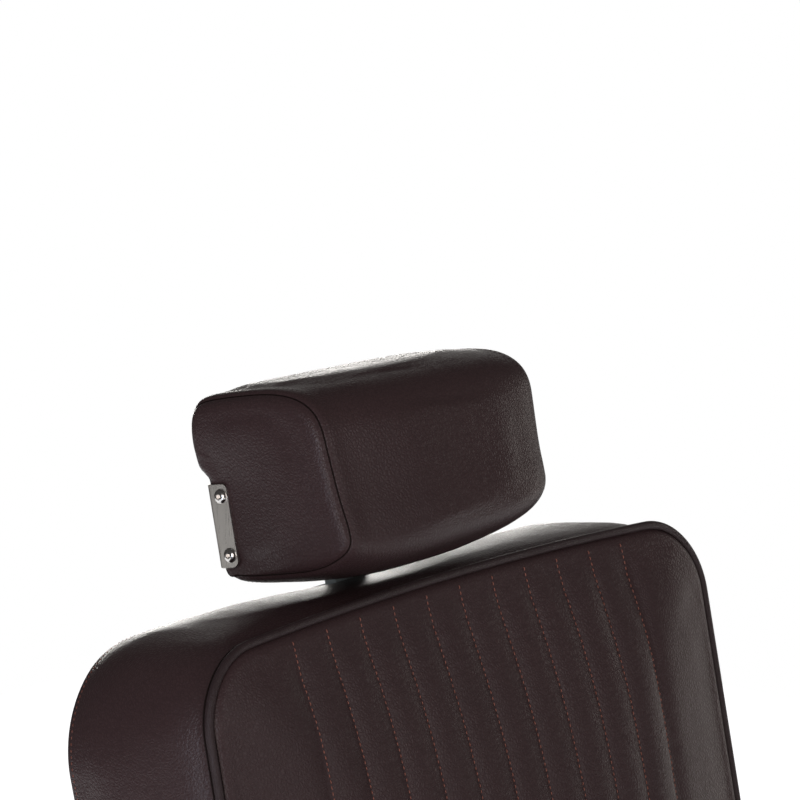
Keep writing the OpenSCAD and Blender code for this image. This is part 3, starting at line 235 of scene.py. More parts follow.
def set_world():
    """White to the camera; to metal and leather a white backdrop behind the chair in a dim room."""
    world = bpy.data.worlds.new("studio")
    bpy.context.scene.world = world
    world.use_nodes = True
    world.cycles.sampling_method = "NONE"
    n = NodeTree(world.node_tree)
    n.tree.nodes.clear()
    path = n.add("ShaderNodeLightPath").outputs
    coords = n.add("ShaderNodeTexCoord").outputs["Generated"]
    toward = n.add("ShaderNodeVectorMath", {0: coords, 1: BACKDROP_AT}, operation="DOT_PRODUCT")
    ramp = n.add("ShaderNodeValToRGB", {"Fac": toward.outputs["Value"]})
    for element, (position, colour) in zip(ramp.color_ramp.elements, BACKDROP_EDGE):
        element.position, element.color = position, (*colour, 1)
    plain, room, white = [n.add("ShaderNodeBackground", {"Color": c}).outputs[0]
                          for c in (ROOM_LIGHT, ramp.outputs["Color"], (1, 1, 1))]
    lit = n.add("ShaderNodeMixShader", {0: path["Is Glossy Ray"], 1: plain, 2: room}).outputs[0]
    clear = n.math("MAXIMUM", path["Is Camera Ray"], path["Is Transmission Ray"])
    seen = n.add("ShaderNodeMixShader", {0: clear, 1: lit, 2: white}).outputs[0]
    n.add("ShaderNodeOutputWorld", {0: seen})


def set_studio():
    bpy.context.scene.view_settings.view_transform = "Standard"
    set_world()
    for row in LAMPS:
        lamp(*row)
    corners = [(-1, -1), (1, -1), (1, 1), (-1, 1)]
    corners = [(x * FLOOR_SIZE, y * FLOOR_SIZE, FLOOR_DROP) for x, y in corners]
    mesh = new_mesh("floor", corners, [(0, 1, 2, 3)])
    mesh.materials.append(floor_material())
    floor = add_object("floor", mesh)


# Materials

class NodeTree:
    """Short ways to write a node tree."""

    def __init__(self, tree):
        self.tree = tree

    def put(self, socket, value):
        """Links a socket to another one, or sets it to a number, vector or colour."""
        if isinstance(value, tuple):
            socket.default_value = (*value, 1)[:len(socket.default_value)]
        elif isinstance(value, (int, float)):
            socket.default_value = value
        else:
            self.tree.links.new(value, socket)

    def add(self, kind, inputs=None, **values):
        node = self.tree.nodes.new(kind)
        for key, value in values.items():
            setattr(node, key, value)
        for key, value in (inputs or {}).items():
            self.put(node.inputs[key], value)
        return node

    def math(self, operation, a, b):
        return self.add("ShaderNodeMath", {0: a, 1: b}, operation=operation).outputs[0]


class Nodes(NodeTree):
    """A material's node tree, in object coordinates."""

    def __init__(self, name):
        self.material = bpy.data.materials.new(name)
        self.material.use_nodes = True
        super().__init__(self.material.node_tree)
        self.shader = self.tree.nodes["Principled BSDF"]
        self.coords = self.add("ShaderNodeTexCoord").outputs["Object"]

    def noise(self, scale, detail=3.0, roughness=0.5, coords=None):
        return self.add("ShaderNodeTexNoise", {"Scale": scale, "Detail": detail, "Roughness": roughness,
                                               "Vector": coords or self.coords}).outputs["Fac"]

    def span(self, value, low, high, to_low, to_high):
        inputs = {"Value": value, 1: low, 2: high, 3: to_low, 4: to_high}
        return self.add("ShaderNodeMapRange", inputs).outputs[0]

    def mix(self, factor, a, b):
        return self.add("ShaderNodeMix", {"Factor": factor, 6: a, 7: b}, data_type="RGBA").outputs[2]

    def bump(self, height, distance, strength, normal=None):
        inputs = {"Strength": strength, "Distance": distance, "Height": height}
        if normal:
            inputs["Normal"] = normal
        return self.add("ShaderNodeBump", inputs).outputs["Normal"]

    def stretch(self, scale):
        return self.add("ShaderNodeMapping", {"Scale": scale, "Vector": self.coords}).outputs["Vector"]

    def finish(self, colour, roughness, normal=None, **fixed):
        """The material, with its colour, roughness, normal and any other named sockets."""
        fixed.update(Base_Color=colour, Roughness=roughness)
        if normal:
            fixed["Normal"] = normal
        for name, value in fixed.items():
            self.put(self.shader.inputs[name.replace("_", " ")], value)
        return self.material


def floor_material():
    """A pale floor that keeps the chair's shadow and reads as white to the camera and in reflections."""
    n = Nodes("studio_floor")
    tone = n.mix(n.noise(2.0), (0.86, 0.86, 0.86), (0.9, 0.9, 0.9))
    path = n.add("ShaderNodeLightPath").outputs
    seen = n.math("MAXIMUM", path["Is Camera Ray"], path["Is Glossy Ray"])
    seen = n.math("MAXIMUM", seen, path["Is Transmission Ray"])
    reach = n.add("ShaderNodeVectorMath", {0: n.coords}, operation="LENGTH").outputs["Value"]
    glow = n.math("MULTIPLY", seen, n.span(reach, *FLOOR_REACH, *FLOOR_GLOW))
    return n.finish(tone, 0.9, Specular_IOR_Level=0.0, Emission_Color=(1, 1, 1), Emission_Strength=glow)


def leather(name, dark, light, grain=GRAIN):
    """Pebbled hide: uneven cells with fine creases, tone that drifts, and a satin finish."""
    n = Nodes(name)
    drift = n.noise(9.0, 4.0)
    wobble = n.add("ShaderNodeTexNoise", {"Scale": WOBBLE, "Vector": n.coords}).outputs["Color"]
    warp = n.add("ShaderNodeVectorMath", {0: wobble, 1: WARP, 2: n.coords}, operation="MULTIPLY_ADD")
    cells = n.add("ShaderNodeTexVoronoi", {"Scale": grain, "Vector": warp.outputs[0]},
                  feature="DISTANCE_TO_EDGE")
    pebble = n.span(cells.outputs["Distance"], 0.0, 0.3, 0.0, 1.0)
    crease = n.noise(CREASES, 5.0, 0.6)
    height = n.math("ADD", n.math("MULTIPLY", pebble, 0.8), n.math("MULTIPLY", crease, 0.4))
    tone = n.mix(n.span(drift, 0.3, 0.7, 0.0, 1.0), dark, light)
    # Colour a tenth darker along the creases between the pebbles: painted shade in the creases
    low = tuple(0.9 * c for c in dark)
    colour = n.mix(n.span(pebble, 0.0, 0.5, 0.0, 1.0), low, tone)
    rough = n.span(n.math("ADD", n.math("MULTIPLY", pebble, 0.4), drift), 0.3, 1.1, 0.46, 0.32)
    waves = n.bump(n.noise(60.0, 3.0), 0.6 * MM, 0.4)
    return n.finish(colour, rough, n.bump(height, 0.4 * MM, 0.48, waves), Specular_IOR_Level=0.22)


def thread(name, colour, gloss=0.4):
    n = Nodes(name)
    twist = n.noise(2600.0, 2.0)
    tone = n.mix(twist, *shaded(colour, 0.55, 1))
    return n.finish(tone, 0.6, n.bump(twist, 0.1 * MM, 0.6), Specular_IOR_Level=gloss)


def polished(name, tone, rough):
    n = Nodes(name)
    smudge = n.noise(14.0, 5.0, 0.6)
    return n.finish(tone, n.span(smudge, 0.3, 0.8, rough, rough + 0.06),
                    n.bump(n.noise(3.0, 2.0), 0.4 * MM, 0.08), Metallic=1.0)


def surface(name, tones, texture, rough, bump, drift=None, stretch=None, **fixed):
    """One noise sets roughness and bump; it or a wider drift mixes two tones."""
    n = Nodes(name)
    grain = n.noise(*texture, coords=n.stretch(stretch) if stretch else None)
    colour = n.mix(n.noise(*drift) if drift else grain, *tones)
    return n.finish(colour, n.span(grain, 0.3, 0.7, *rough), n.bump(grain, *bump), **fixed)


def shaded(tone, *factors):
    return [tuple(f * c for c in tone) for f in factors]


def brushed(name, tone, rough, stretch, metallic=1.0):
    return surface(name, shaded(tone, 0.86, 1), (1.0, 4.0, 0.7), (rough - 0.07, rough + 0.09),
                   (0.02 * MM, 0.35), stretch=stretch, Metallic=metallic)


def make_materials():
    hide = leather("leather", (0.0355, 0.0192, 0.0198), (0.0435, 0.0245, 0.025))
    return {
        "leather": hide,
        "leather_on_foam": hide,
        "piping": leather("piping_leather", (0.027, 0.0165, 0.017), (0.034, 0.021, 0.022), 900.0),
        "thread": thread("rust_thread", (0.27, 0.09, 0.06)),
        "dark_thread": thread("dark_thread", (0.035, 0.018, 0.015)),
        # Near-black with almost no gloss: painted shadow for the grooves beside the piping and along the
        # headrest's end seams
        "seam_shadow": thread("seam_shadow", (0.012, 0.007, 0.006), 0.06),
        # The bar's tone is partly the steel's own grey and partly a painted teal reflection
        "bar_steel": brushed("bar_steel", (0.4, 0.45, 0.45), 0.42, (40, 40, 900), 0.5),
        "chrome": polished("chrome", (0.66, 0.665, 0.68), 0.05),
        "brushed_steel": brushed("brushed_steel", (0.56, 0.545, 0.52), 0.3, (60, 60, 1400)),
        "satin_steel": brushed("satin_steel", (0.66, 0.63, 0.59), 0.3, (40, 900, 40)),
        "screw_steel": polished("screw_steel", (0.62, 0.61, 0.6), 0.16),
        "zinc_steel": brushed("zinc_steel", (0.6, 0.6, 0.61), 0.34, (500, 500, 500)),
        "bronze": brushed("bronze", (0.62, 0.42, 0.2), 0.3, (300, 300, 300)),
        "black_steel": surface("black_steel", shaded((0.013, 0.013, 0.014), 1, 1.35), (520.0, 2.0),
                               (0.32, 0.42), (0.06 * MM, 0.4), (6.0, 3.0),
                               Coat_Weight=0.15, Coat_Roughness=0.2),
        "rubber": surface("rubber", shaded((0.013, 0.013, 0.013), 1, 1.5), (900.0, 4.0),
                          (0.68, 0.85), (0.08 * MM, 0.5), (20.0,)),
        "plywood": surface("plywood", ((0.022, 0.016, 0.012), (0.052, 0.036, 0.026)), (1.0, 6.0, 0.65),
                           (0.5, 0.66), (0.1 * MM, 0.3), stretch=(26, 26, 420)),
        "aluminium": surface("cast_aluminium", shaded((0.46, 0.46, 0.47), 0.8, 1), (650.0, 5.0, 0.6),
                             (0.32, 0.5), (0.12 * MM, 0.35), (12.0, 4.0), Metallic=1.0),
        "black_plastic": surface("black_plastic", shaded((0.012, 0.012, 0.012), 1, 1.6), (30.0, 4.0),
                                 (0.18, 0.3), (0.1 * MM, 0.05)),
    }


# Mesh helpers

def add_object(name, data):
    obj = bpy.data.objects.new(name, data)
    bpy.context.scene.collection.objects.link(obj)
    return obj


def new_mesh(name, verts, faces, place=None):
    mesh = bpy.data.meshes.new(name)
    mesh.from_pydata([tuple(v) for v in np.asarray(verts, float)], [], [tuple(f) for f in faces])
    if place is not None:
        mesh.transform(place)
    return mesh


def piece(name, verts, faces, material, body, slot, place=None):
    """A mesh object from points in a local frame, riding on a body."""
    mesh = new_mesh(name, verts, faces, place)
    mesh.polygons.foreach_set("use_smooth", [True] * len(mesh.polygons))
    mesh.materials.append(material)
    mesh.update()
    obj = add_object(name, mesh)
    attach(obj, body)
    return obj


def apply_modifiers(obj):
    depsgraph = bpy.context.evaluated_depsgraph_get()
    mesh = bpy.data.meshes.new_from_object(obj.evaluated_get(depsgraph))
    old = obj.data
    obj.modifiers.clear()
    obj.data = mesh
    bpy.data.meshes.remove(old)
    mesh.polygons.foreach_set("use_smooth", [True] * len(mesh.polygons))


def drop_object(obj):
    mesh = obj.data
    bpy.data.objects.remove(obj)
    bpy.data.meshes.remove(mesh)


def ring_quads(rings, n, closed=False):
    """Faces between rings of n points each; closed joins the last ring to the first."""
    return [(k * n + q, k * n + (q + 1) % n, (k + 1) % rings * n + (q + 1) % n, (k + 1) % rings * n + q)
            for k in range(rings if closed else rings - 1) for q in range(n)]


def bar_faces(rings, n):
    """Faces between rings, with both ends closed."""
    return ring_quads(rings, n) + [tuple(range(n - 1, -1, -1)), tuple(range((rings - 1) * n, rings * n))]


def turns(n):
    return [2 * math.pi * k / n for k in range(n)]


def joined(parts):
    """One set of points and faces from several."""
    verts, faces = [], []
    for points, quads in parts:
        faces += [tuple(len(verts) + i for i in f) for f in quads]
        verts += [tuple(p) for p in points]
    return verts, faces


def mirrored(faces, side):
    return faces if side > 0 else [f[::-1] for f in faces]


def point_tree(points):
    tree = KDTree(len(points))
    for k, point in enumerate(points):
        tree.insert(point, k)
    tree.balance()
    return tree


def tube(path, radius, sides):
    """Points and faces of a round tube along a closed path."""
    path = np.asarray(path, float)
    n = len(path)
    tangents = np.roll(path, -1, 0) - np.roll(path, 1, 0)
    tangents /= np.linalg.norm(tangents, axis=1)[:, None]
    normal = np.cross(tangents[0], (0.31, 0.59, 0.74))
    normal /= np.linalg.norm(normal)
    frames = []
    for t in tangents:
        normal = normal - t * normal.dot(t)
        normal /= np.linalg.norm(normal)
        frames.append(normal.copy())
    frames = np.array(frames)
    end = frames[-1] - tangents[0] * frames[-1].dot(tangents[0])
    side = np.cross(tangents[0], frames[0])
    twist = math.atan2(end.dot(side), end.dot(frames[0]))
    untwist = -twist * np.linspace(0, 1, n)[:, None]
    frames = frames * np.cos(untwist) + np.cross(tangents, frames) * np.sin(untwist)
    across = np.cross(tangents, frames)
    angles = np.linspace(0, 2 * math.pi, sides, endpoint=False)
    verts = (path[:, None] + radius * (np.cos(angles)[None, :, None] * frames[:, None]
                                       + np.sin(angles)[None, :, None] * across[:, None])).reshape(-1, 3)
    return verts, ring_quads(n, sides, True)


def lathe(profile, segments=160):
    """A closed ring of points (radius, height) turned about Z; points on the axis become one."""
    verts, rings, faces = [], [], []
    for r, z in profile:
        if r < 1e-7:
            rings.append([len(verts)] * segments)
            verts.append((0, 0, z))
        else:
            rings.append(list(range(len(verts), len(verts) + segments)))
            verts += [(r * math.cos(a), r * math.sin(a), z) for a in turns(segments)]
    for a, b in zip(rings, rings[1:] + rings[:1]):
        for k in range(segments):
            t = (k + 1) % segments
            face = list(dict.fromkeys((a[k], a[t], b[t], b[k])))
            if len(face) > 2:
                faces.append(face)
    return verts, faces


def smooth_step(t):
    t = np.clip(t, 0, 1)
    return t * t * (3 - 2 * t)


def rise(d, run):
    """Quarter-round rise from a seam, from 0 at the seam to 1 at the run."""
    t = 1 - np.clip(d / run, 0, 1)
    return np.sqrt(np.maximum(0, 1 - t * t))


def resample(points, step):
    """Even steps along a closed path."""
    points = np.vstack([points, points[:1]])
    lengths = np.concatenate([[0], np.cumsum(np.linalg.norm(np.diff(points, axis=0), axis=1))])
    count = max(8, int(round(lengths[-1] / step)))
    places = np.linspace(0, lengths[-1], count, endpoint=False)
    return np.stack([np.interp(places, lengths, points[:, k]) for k in range(points.shape[1])], 1)


# Cloth simulation

SIM_VOXEL = 9 * MM
SIM_FINE = 5 * MM
SIM_WIDE = 150 * MM
SIM_FRAMES = 16
SIM_PRESSURE = 4.0
SIM_HOLD = 0.7
SIM_SIDE_CAP = 1.6 * MM
SIM_CAP = 22 * MM
SIM_NEAR = 10
SIM_BLUR = 9 * MM
SEAM_KEEP = 3 * MM
SEAM_FADE = 10 * MM
BAND_KEEP = (9 * MM, 5 * MM)
BAND_FADE = 12 * MM
SWELLS = {}


class Swell:
    """How a filled cover swells under pressure: points of a remeshed copy and how far each one moves."""

    def __init__(self, verts, faces, voxel, pinned):
        obj = add_object("swell", new_mesh("swell", verts, faces))
        scene = bpy.context.scene
        remesh = obj.modifiers.new("remesh", "REMESH")
        remesh.mode, remesh.voxel_size = "VOXEL", voxel
        apply_modifiers(obj)
        self.start = self.coords(obj.data)
        group = obj.vertex_groups.new(name="pinned")
        group.add([int(i) for i in np.nonzero(pinned(self.start))[0]], 1.0, "REPLACE")
        cloth = obj.modifiers.new("cloth", "CLOTH")
        cloth.settings.quality = 4
        cloth.settings.use_pressure = True
        cloth.settings.uniform_pressure_force = SIM_PRESSURE
        cloth.settings.vertex_group_mass = "pinned"
        cloth.settings.effector_weights.gravity = 0
        cloth.collision_settings.use_collision = False
        cloth.point_cache.frame_end = SIM_FRAMES
        for frame_number in range(1, SIM_FRAMES + 1):
            scene.frame_set(frame_number)
        ended = obj.evaluated_get(bpy.context.evaluated_depsgraph_get())
        self.moves = self.coords(ended.data) - self.start
        far = np.linalg.norm(self.moves, axis=1)
        self.moves *= np.minimum(1, SIM_CAP / np.maximum(far, 1e-9))[:, None]
        drop_object(obj)
        scene.frame_set(1)
        self.tree = point_tree(self.start)

    @staticmethod
    def coords(mesh):
        points = np.empty(3 * len(mesh.vertices))
        mesh.vertices.foreach_get("co", points)
        return points.reshape(-1, 3)

    def at(self, points):
        """Smoothed moves at any points near the form."""
        found = [self.tree.find_n(p, SIM_NEAR) for p in points]
        near = np.array([[hit[1] for hit in hits] for hits in found])
        away = np.array([[hit[2] for hit in hits] for hits in found])
        weights = np.exp(-((away - away[:, :1]) / SIM_BLUR) ** 2)
        weights /= weights.sum(1)[:, None]
        return np.sum(self.moves[near] * weights[:, :, None], axis=1)


# Sewn pads

class Pad:
    """A sewn pad lying face up: x across, y along, and z = 0 at its piping."""

    def __init__(self, w, h, r, t, puff, roll, lines=0, arch=0.0, band=BAND_PUFF, rear_r=0.0, dip=0.0,
                 rear_line=((0, 0),)):
        self.w, self.h, self.r, self.t = w, h, r, t
        self.puff, self.roll, self.lines, self.arch, self.band = puff, roll, lines, arch, band
        self.rear_r, self.dip, self.rear_line = rear_r, dip, rear_line
        self.hold = 1.0
        self.zone = max(0, lines - 1) * FLUTE_PITCH

    def drop(self, x):
        c = np.maximum(0, np.abs(x) - self.w / 2 + self.r)
        return self.r - np.sqrt(np.maximum(0, self.r ** 2 - c * c))

    def high(self, x):
        return self.h - self.drop(x) - self.arch * (2 * x / self.w) ** 2

    def inset(self, x, y, r=0.0):
        """Distance inside the outline, or inside one with rounder corners."""
        r = r or self.r
        y = y + self.arch * (2 * x / self.w) ** 2 * y / self.h
        qx = np.abs(x) - (self.w / 2 - r)
        qy = np.abs(y - self.h / 2) - (self.h / 2 - r)
        outside = np.hypot(np.maximum(qx, 0), np.maximum(qy, 0))
        return r - outside - np.minimum(np.maximum(qx, qy), 0)

    def channel(self, x):
        """1 on a stitch line and 0 on the crest between two."""
        if not self.lines:
            return np.zeros_like(x)
        inside = 1 - np.abs(np.sin(np.pi * (x + self.zone / 2) / FLUTE_PITCH)) ** 0.7
        beyond = np.clip(1 - (np.abs(x) - self.zone / 2) / (0.5 * FLUTE_PITCH), 0, 1) ** 1.6
        return np.where(np.abs(x) > self.zone / 2, beyond, inside)

    def pucker(self, x, y, d):
        """Small dips where each stitch draws the leather in, stronger toward the ends of a row."""
        uneven = np.sin(x * 97 + y * 611 + 2 * np.sin(y * 173 + x * 41))
        wave = np.sin(2 * np.pi * y / STITCH_PITCH) + 0.8 * uneven
        return (PUCKER + PUCKER_END * np.exp(-d / PUCKER_REACH)) * wave * MM

    def crown(self, x, y, d):
        dome = np.maximum(0, (1 - (2 * x / self.w) ** 2) * (1 - (2 * y / self.h - 1) ** 2))
        return self.puff * rise(d - 0.75 * PIPING_R, self.roll) + min(PANEL_DOME, 0.6 * self.puff) * dome

    def front(self, x, y):
        d = self.inset(x, y)
        z = self.crown(x, y, d) * self.hold
        reach = smooth_step((d - 2 * PIPING_R) / (0.7 * self.roll))
        z -= (FLUTE_DEPTH + self.pucker(x, y, d)) * self.channel(x) * reach
        return z - 0.3 * PIPING_R * (1 - smooth_step(d / PIPING_R))

    def columns(self):
        arc = [self.r * (1 - math.cos(math.radians(a))) - self.w / 2 for a in range(0, 90, 6)]
        edge = -self.zone / 2 if self.lines else 0.0
        start = self.r - self.w / 2
        count = max(1, int(round((edge - start) / (5 * MM))))
        border = list(np.linspace(start, edge, count, endpoint=False))
        if self.lines:
            shares = (0, 0.04, 0.11, 0.21, 0.35, 0.5, 0.65, 0.79, 0.89, 0.96)
            middle = [edge + (k + s) * FLUTE_PITCH for k in range(self.lines - 1) for s in shares] + [-edge]
        else:
            middle = [0.0]
        left = arc + border
        return np.array(left + middle + [-x for x in reversed(left)])

    def rows(self):
        """Rows as distances from the lower and the upper edge, and shares of the way between."""
        near = [0, 0.8, 2, 3.2, 4.6, 6.4, 8.6, 11.2, 14.4, 18.4, 23.4, 29.4]
        near = [d * MM for d in near if d * MM < 0.35 * self.h and d * MM < self.h / 2 - self.r]
        count = max(2, int(round((self.h - 2 * near[-1]) / (0.5 * STITCH_PITCH))))
        return near, list(np.linspace(0, 1, count + 1))[1:-1]

    def grid(self):
        xs = self.columns()
        near, shares = self.rows()
        low, high, margin = self.drop(xs), self.high(xs), near[-1]
        y = np.array([low + d for d in near] + [low + margin + (high - low - 2 * margin) * s for s in shares]
                     + [high - d for d in near[::-1]]).T
        return np.repeat(xs[:, None], y.shape[1], 1), y

    def band_profile(self):
        """(outward offset, depth) of the side band from the piping to the rear seam."""
        lip = PIPING_R
        if self.t > DEEP_BAND:
            steps = [(o * MM, d * MM) for o, d in BAND_TUCK]
            start, lean_in = steps[-1][1] + 1 * MM, BAND_LEAN
        else:
            steps = [(o * lip, d * lip) for o, d in BAND_LIP]
            start, lean_in = 1.9 * lip, 0.0
        count = max(5, int(self.t / (5 * MM)))
        end = self.t - 0.9 * lip
        for k in range(count + 1):
            s = k / count
            beyond = max(0.0, s - BAND_CREST) / (1 - BAND_CREST)
            crest = 1 - (abs(1 - s / BAND_CREST) ** 2.2 if s < BAND_CREST else beyond ** 2.8)
            roll = lean_in * max(0.0, 1 - s / BAND_ROLL) ** 2
            steps.append((self.band * crest + 0.2 * lip * (1 - s) - roll, start + (end - start) * s))
        return steps + [(-0.1 * lip, self.t - 0.35 * lip), (-0.5 * lip, self.t)]

    def mesh(self, rear=()):
        """Closed mesh: front, side bands, then the rear rings as (outward offset, depth)."""
        x, y = self.grid()
        nx, ny = x.shape
        verts = np.stack([x, y, self.front(x, y)], 2).reshape(-1, 3)
        faces = [(i * ny + j, (i + 1) * ny + j, (i + 1) * ny + j + 1, i * ny + j + 1)
                 for i in range(nx - 1) for j in range(ny - 1)]
        loop = ([i * ny for i in range(nx)] + [(nx - 1) * ny + j for j in range(1, ny - 1)]
                + [i * ny + ny - 1 for i in range(nx - 1, -1, -1)] + list(range(ny - 2, 0, -1)))
        edge = verts[loop][:, :2]
        out = outward(edge)
        parts, last, n = [verts], loop, len(loop)
        shift = 0 * edge[:, 0]
        if self.rear_r:
            shift = np.minimum(0, self.inset(edge[:, 0], edge[:, 1], self.rear_r))
        spots, rises = np.array(self.rear_line, float).T * MM
        full = np.interp(edge[:, 0], spots, rises)
        sag = self.dip * np.exp(-(edge[:, 0] / SAG_REACH) ** 2) * (edge[:, 1] > 0.8 * self.h)
        for offset, depth in (*self.band_profile(), *rear):
            share = smooth_step(depth / self.t)
            lift = self.dip * (2 * edge[:, 0] / self.w) ** 2 + full
            lift *= smooth_step((edge[:, 1] - 0.6 * self.h) / (0.3 * self.h))
            spread = offset + (shift - sag + lift) * share
            base = nx * ny + (len(parts) - 1) * n
            parts.append(np.column_stack([edge + out * spread[:, None], np.full(n, -depth)]))
            new = list(range(base, base + n))
            faces += [(last[q], new[q], new[(q + 1) % n], last[(q + 1) % n]) for q in range(n)]
            last = new
        faces += [(base + n, last[(q + 1) % n], last[q]) for q in range(n)]
        parts.append(np.array([[0, self.h / 2, -depth]]))
        return np.vstack(parts), faces

    def filled(self, rear=()):
        """The pad's mesh, swelled by a cloth simulation between its piping and its rear seam."""
        self.hold = SIM_HOLD
        voxel = SIM_VOXEL if self.w > SIM_WIDE else SIM_FINE
        depth = max(self.t, 3 * voxel)
        form = Pad(self.w, self.h, self.r, depth, self.puff, self.roll, 0, self.arch, self.band)
        form.hold = SIM_HOLD
        key = (form.w, form.h, form.t)
        if key not in SWELLS:
            SWELLS[key] = Swell(*form.mesh(), voxel, lambda p: (np.abs(p[:, 2]) < voxel)
                                & (self.inset(p[:, 0], p[:, 1]) < voxel) | (p[:, 2] < 0.7 * voxel - form.t))
        swell = SWELLS[key]
        top = swell.start[:, 2] > 2 * MM
        x, y = swell.start[top, 0], swell.start[top, 1]
        wanted = (1 - SIM_HOLD) * np.mean(self.crown(x, y, self.inset(x, y)))
        verts, faces = self.mesh(rear)
        moves = swell.at(verts) * wanted / max(1e-6, np.mean(swell.moves[top, 2]))
        inset = self.inset(verts[:, 0], verts[:, 1])
        free = smooth_step((inset - SEAM_KEEP) / SEAM_FADE) * (verts[:, 2] > -1 * MM)
        side = (smooth_step((-verts[:, 2] - BAND_KEEP[0]) / BAND_FADE)
                * smooth_step((verts[:, 2] + self.t - BAND_KEEP[1]) / BAND_FADE))
        moves[:, 2] *= free
        cap = np.clip(SIM_SIDE_CAP / np.maximum(1e-6, np.hypot(moves[:, 0], moves[:, 1])), 0, 1)
        moves[:, :2] *= cap[:, None] * np.maximum(0.3 * free, side)[:, None]
        return verts + moves, faces

    def outline(self, step=3 * MM):
        """Even points round the piping, counterclockwise."""
        arc = [math.radians(a) for a in range(0, 91, 5)]
        xs = [self.r * (1 - math.cos(a)) - self.w / 2 for a in arc]
        mids = list(np.linspace(xs[-1], -xs[-1], 40))[1:-1]
        xs = np.array(xs + mids + [-x for x in reversed(xs)])
        lower = np.column_stack([xs, self.drop(xs)])
        upper = np.column_stack([xs, self.high(xs)])[::-1]
        return resample(np.vstack([lower, upper]), step)


def outward(edge):
    """Unit normals pointing out of a counterclockwise outline."""
    along = np.roll(edge, -1, 0) - np.roll(edge, 1, 0)
    along /= np.maximum(1e-9, np.linalg.norm(along, axis=1))[:, None]
    return np.column_stack([along[:, 1], -along[:, 0]])


def stitch_mesh(rows, lift=0.75, radius=THREAD_R):
    """Threads laid over the surface: each row is (points, normals) along a seam."""
    rings, sides = 5, 6
    parts, faces = [], bar_faces(rings, sides)
    angles = np.linspace(0, 2 * math.pi, sides, endpoint=False)
    for points, normals in rows:
        points, normals = np.asarray(points), np.asarray(normals)
        along = np.gradient(points, axis=0)
        along /= np.maximum(1e-9, np.linalg.norm(along, axis=1))[:, None]
        across = np.cross(normals, along)
        for p, t, n, a in zip(points, along, normals, across):
            verts = []
            for s in np.linspace(-1, 1, rings):
                centre = p + t * (0.5 * STITCH_LEN * s) + n * radius * (lift - 1.5 * s * s)
                r = radius * (1 - 0.35 * s * s)
                verts += [centre + r * (math.cos(g) * n + math.sin(g) * a) for g in angles]
            parts.append((verts, faces))
    return joined(parts)


def surface_of(obj):
    return BVHTree.FromObject(obj, bpy.context.evaluated_depsgraph_get())


def dropped(obj, rays):
    """Where rays, given as (start, direction), first meet a piece, and its normals there."""
    surface = surface_of(obj)
    hits = [surface.ray_cast(start, direction)[:2] for start, direction in rays]
    hits = [(tuple(hit), tuple(normal)) for hit, normal in hits if hit is not None]
    return np.array([h[0] for h in hits]), np.array([h[1] for h in hits])


def nearest(surface, points):
    hits = [surface.find_nearest(p) for p in points]
    return np.array([tuple(h[0]) for h in hits]), np.array([tuple(h[1]) for h in hits])


class Upholstery:
    """Builds one sewn pad with its piping and its stitching."""

    def __init__(self, name, pad, place, body, materials, replaces, rear=()):
        self.name, self.pad, self.place, self.body, self.mats = name, pad, place, body, materials
        self.cover = piece(name, *pad.filled(rear), materials["leather"], body, "leather_on_foam", place)
        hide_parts(replaces)

    def trim(self, name, form, material, place=None):
        piece(name, *form, self.mats[material], self.body, "leather_on_foam", place)

    def ring(self, out, up, radius, sides):
        """A tube round the pad's outline."""
        edge = self.pad.outline()
        edge = edge + outward(edge) * out
        return tube(np.column_stack([edge, np.full(len(edge), up)]), radius, sides)

    def piping(self, name, depth=0.0, offset=0.4 * MM, radius=PIPING_R):
        self.trim(name, self.ring(offset, -depth, radius, 14), "piping", self.place)

    def seam_shadow_lines(self, name):
        """Near-black tubes in the grooves on both sides of the piping: painted shadow lines along its seams.
        """
        parts = [self.ring(out * PIPING_R, up * PIPING_R, SEAM_SHADOW_R, 8) for out, up in SEAM_SHADOW_SPOTS]
        self.trim(name, joined(parts), "seam_shadow", self.place)

    def flute_stitches(self, name):
        pad, rows, above = self.pad, [], 60 * MM
        inward = -(self.place.to_3x3() @ Vector((0, 0, 1))).normalized()
        for k in range(pad.lines):
            x = (k * FLUTE_PITCH) - pad.zone / 2
            start = float(pad.drop(np.array(x))) + 6.5 * MM
            end = float(pad.high(np.array(x))) - 6.5 * MM
            count = int((end - start) / STITCH_PITCH)
            rays = [(self.place @ Vector((x, end - (i + 0.5) * STITCH_PITCH, above)), inward)
                    for i in range(count)]
            rows.append(dropped(self.cover, rays))
        self.trim(name, stitch_mesh(rows), "thread")

    def band_stitches(self, name, depth, colour="dark_thread"):
        """A row of stitches round the side band at a depth below the piping."""
        edge = resample(self.pad.outline(1 * MM), STITCH_PITCH)
        out = outward(edge)
        turn = self.place.to_3x3()
        rays = [(self.place @ Vector((x, y, -depth)), (turn @ Vector((-ox, -oy, 0))).normalized())
                for (x, y), (ox, oy) in zip(edge + out * 30 * MM, out)]
        self.trim(name, stitch_mesh([dropped(self.cover, rays)], 0.2), colour)


def cut_away(obj, verts, faces, place):
    """Takes a closed form out of a piece."""
    cutter = add_object("cutter", new_mesh("cutter", verts, faces, place))
    modifier = obj.modifiers.new("cut", "BOOLEAN")
    modifier.operation, modifier.solver, modifier.object = "DIFFERENCE", "EXACT", cutter
    apply_modifiers(obj)
    drop_object(cutter)


def cut_boxes(obj, boxes, place):
    """Cuts box-shaped pockets, given as two corners in a local frame."""
    faces = [(0, 1, 3, 2), (4, 6, 7, 5), (0, 4, 5, 1), (2, 3, 7, 6), (0, 2, 6, 4), (1, 5, 7, 3)]
    for low, high in boxes:
        spans = list(zip(low, high))
        corners = [(x, y, z) for x in spans[0] for y in spans[1] for z in spans[2]]
        cut_away(obj, corners, faces, place)


def cut_round(obj, x, y, z, radius):
    """Cuts a round hole across the chair."""
    n, half = 40, 20 * MM
    verts = [(x + side * half, y + radius * math.cos(a), z + radius * math.sin(a))
             for side in (-1, 1) for a in turns(n)]
    cut_away(obj, verts, bar_faces(2, n), Matrix())


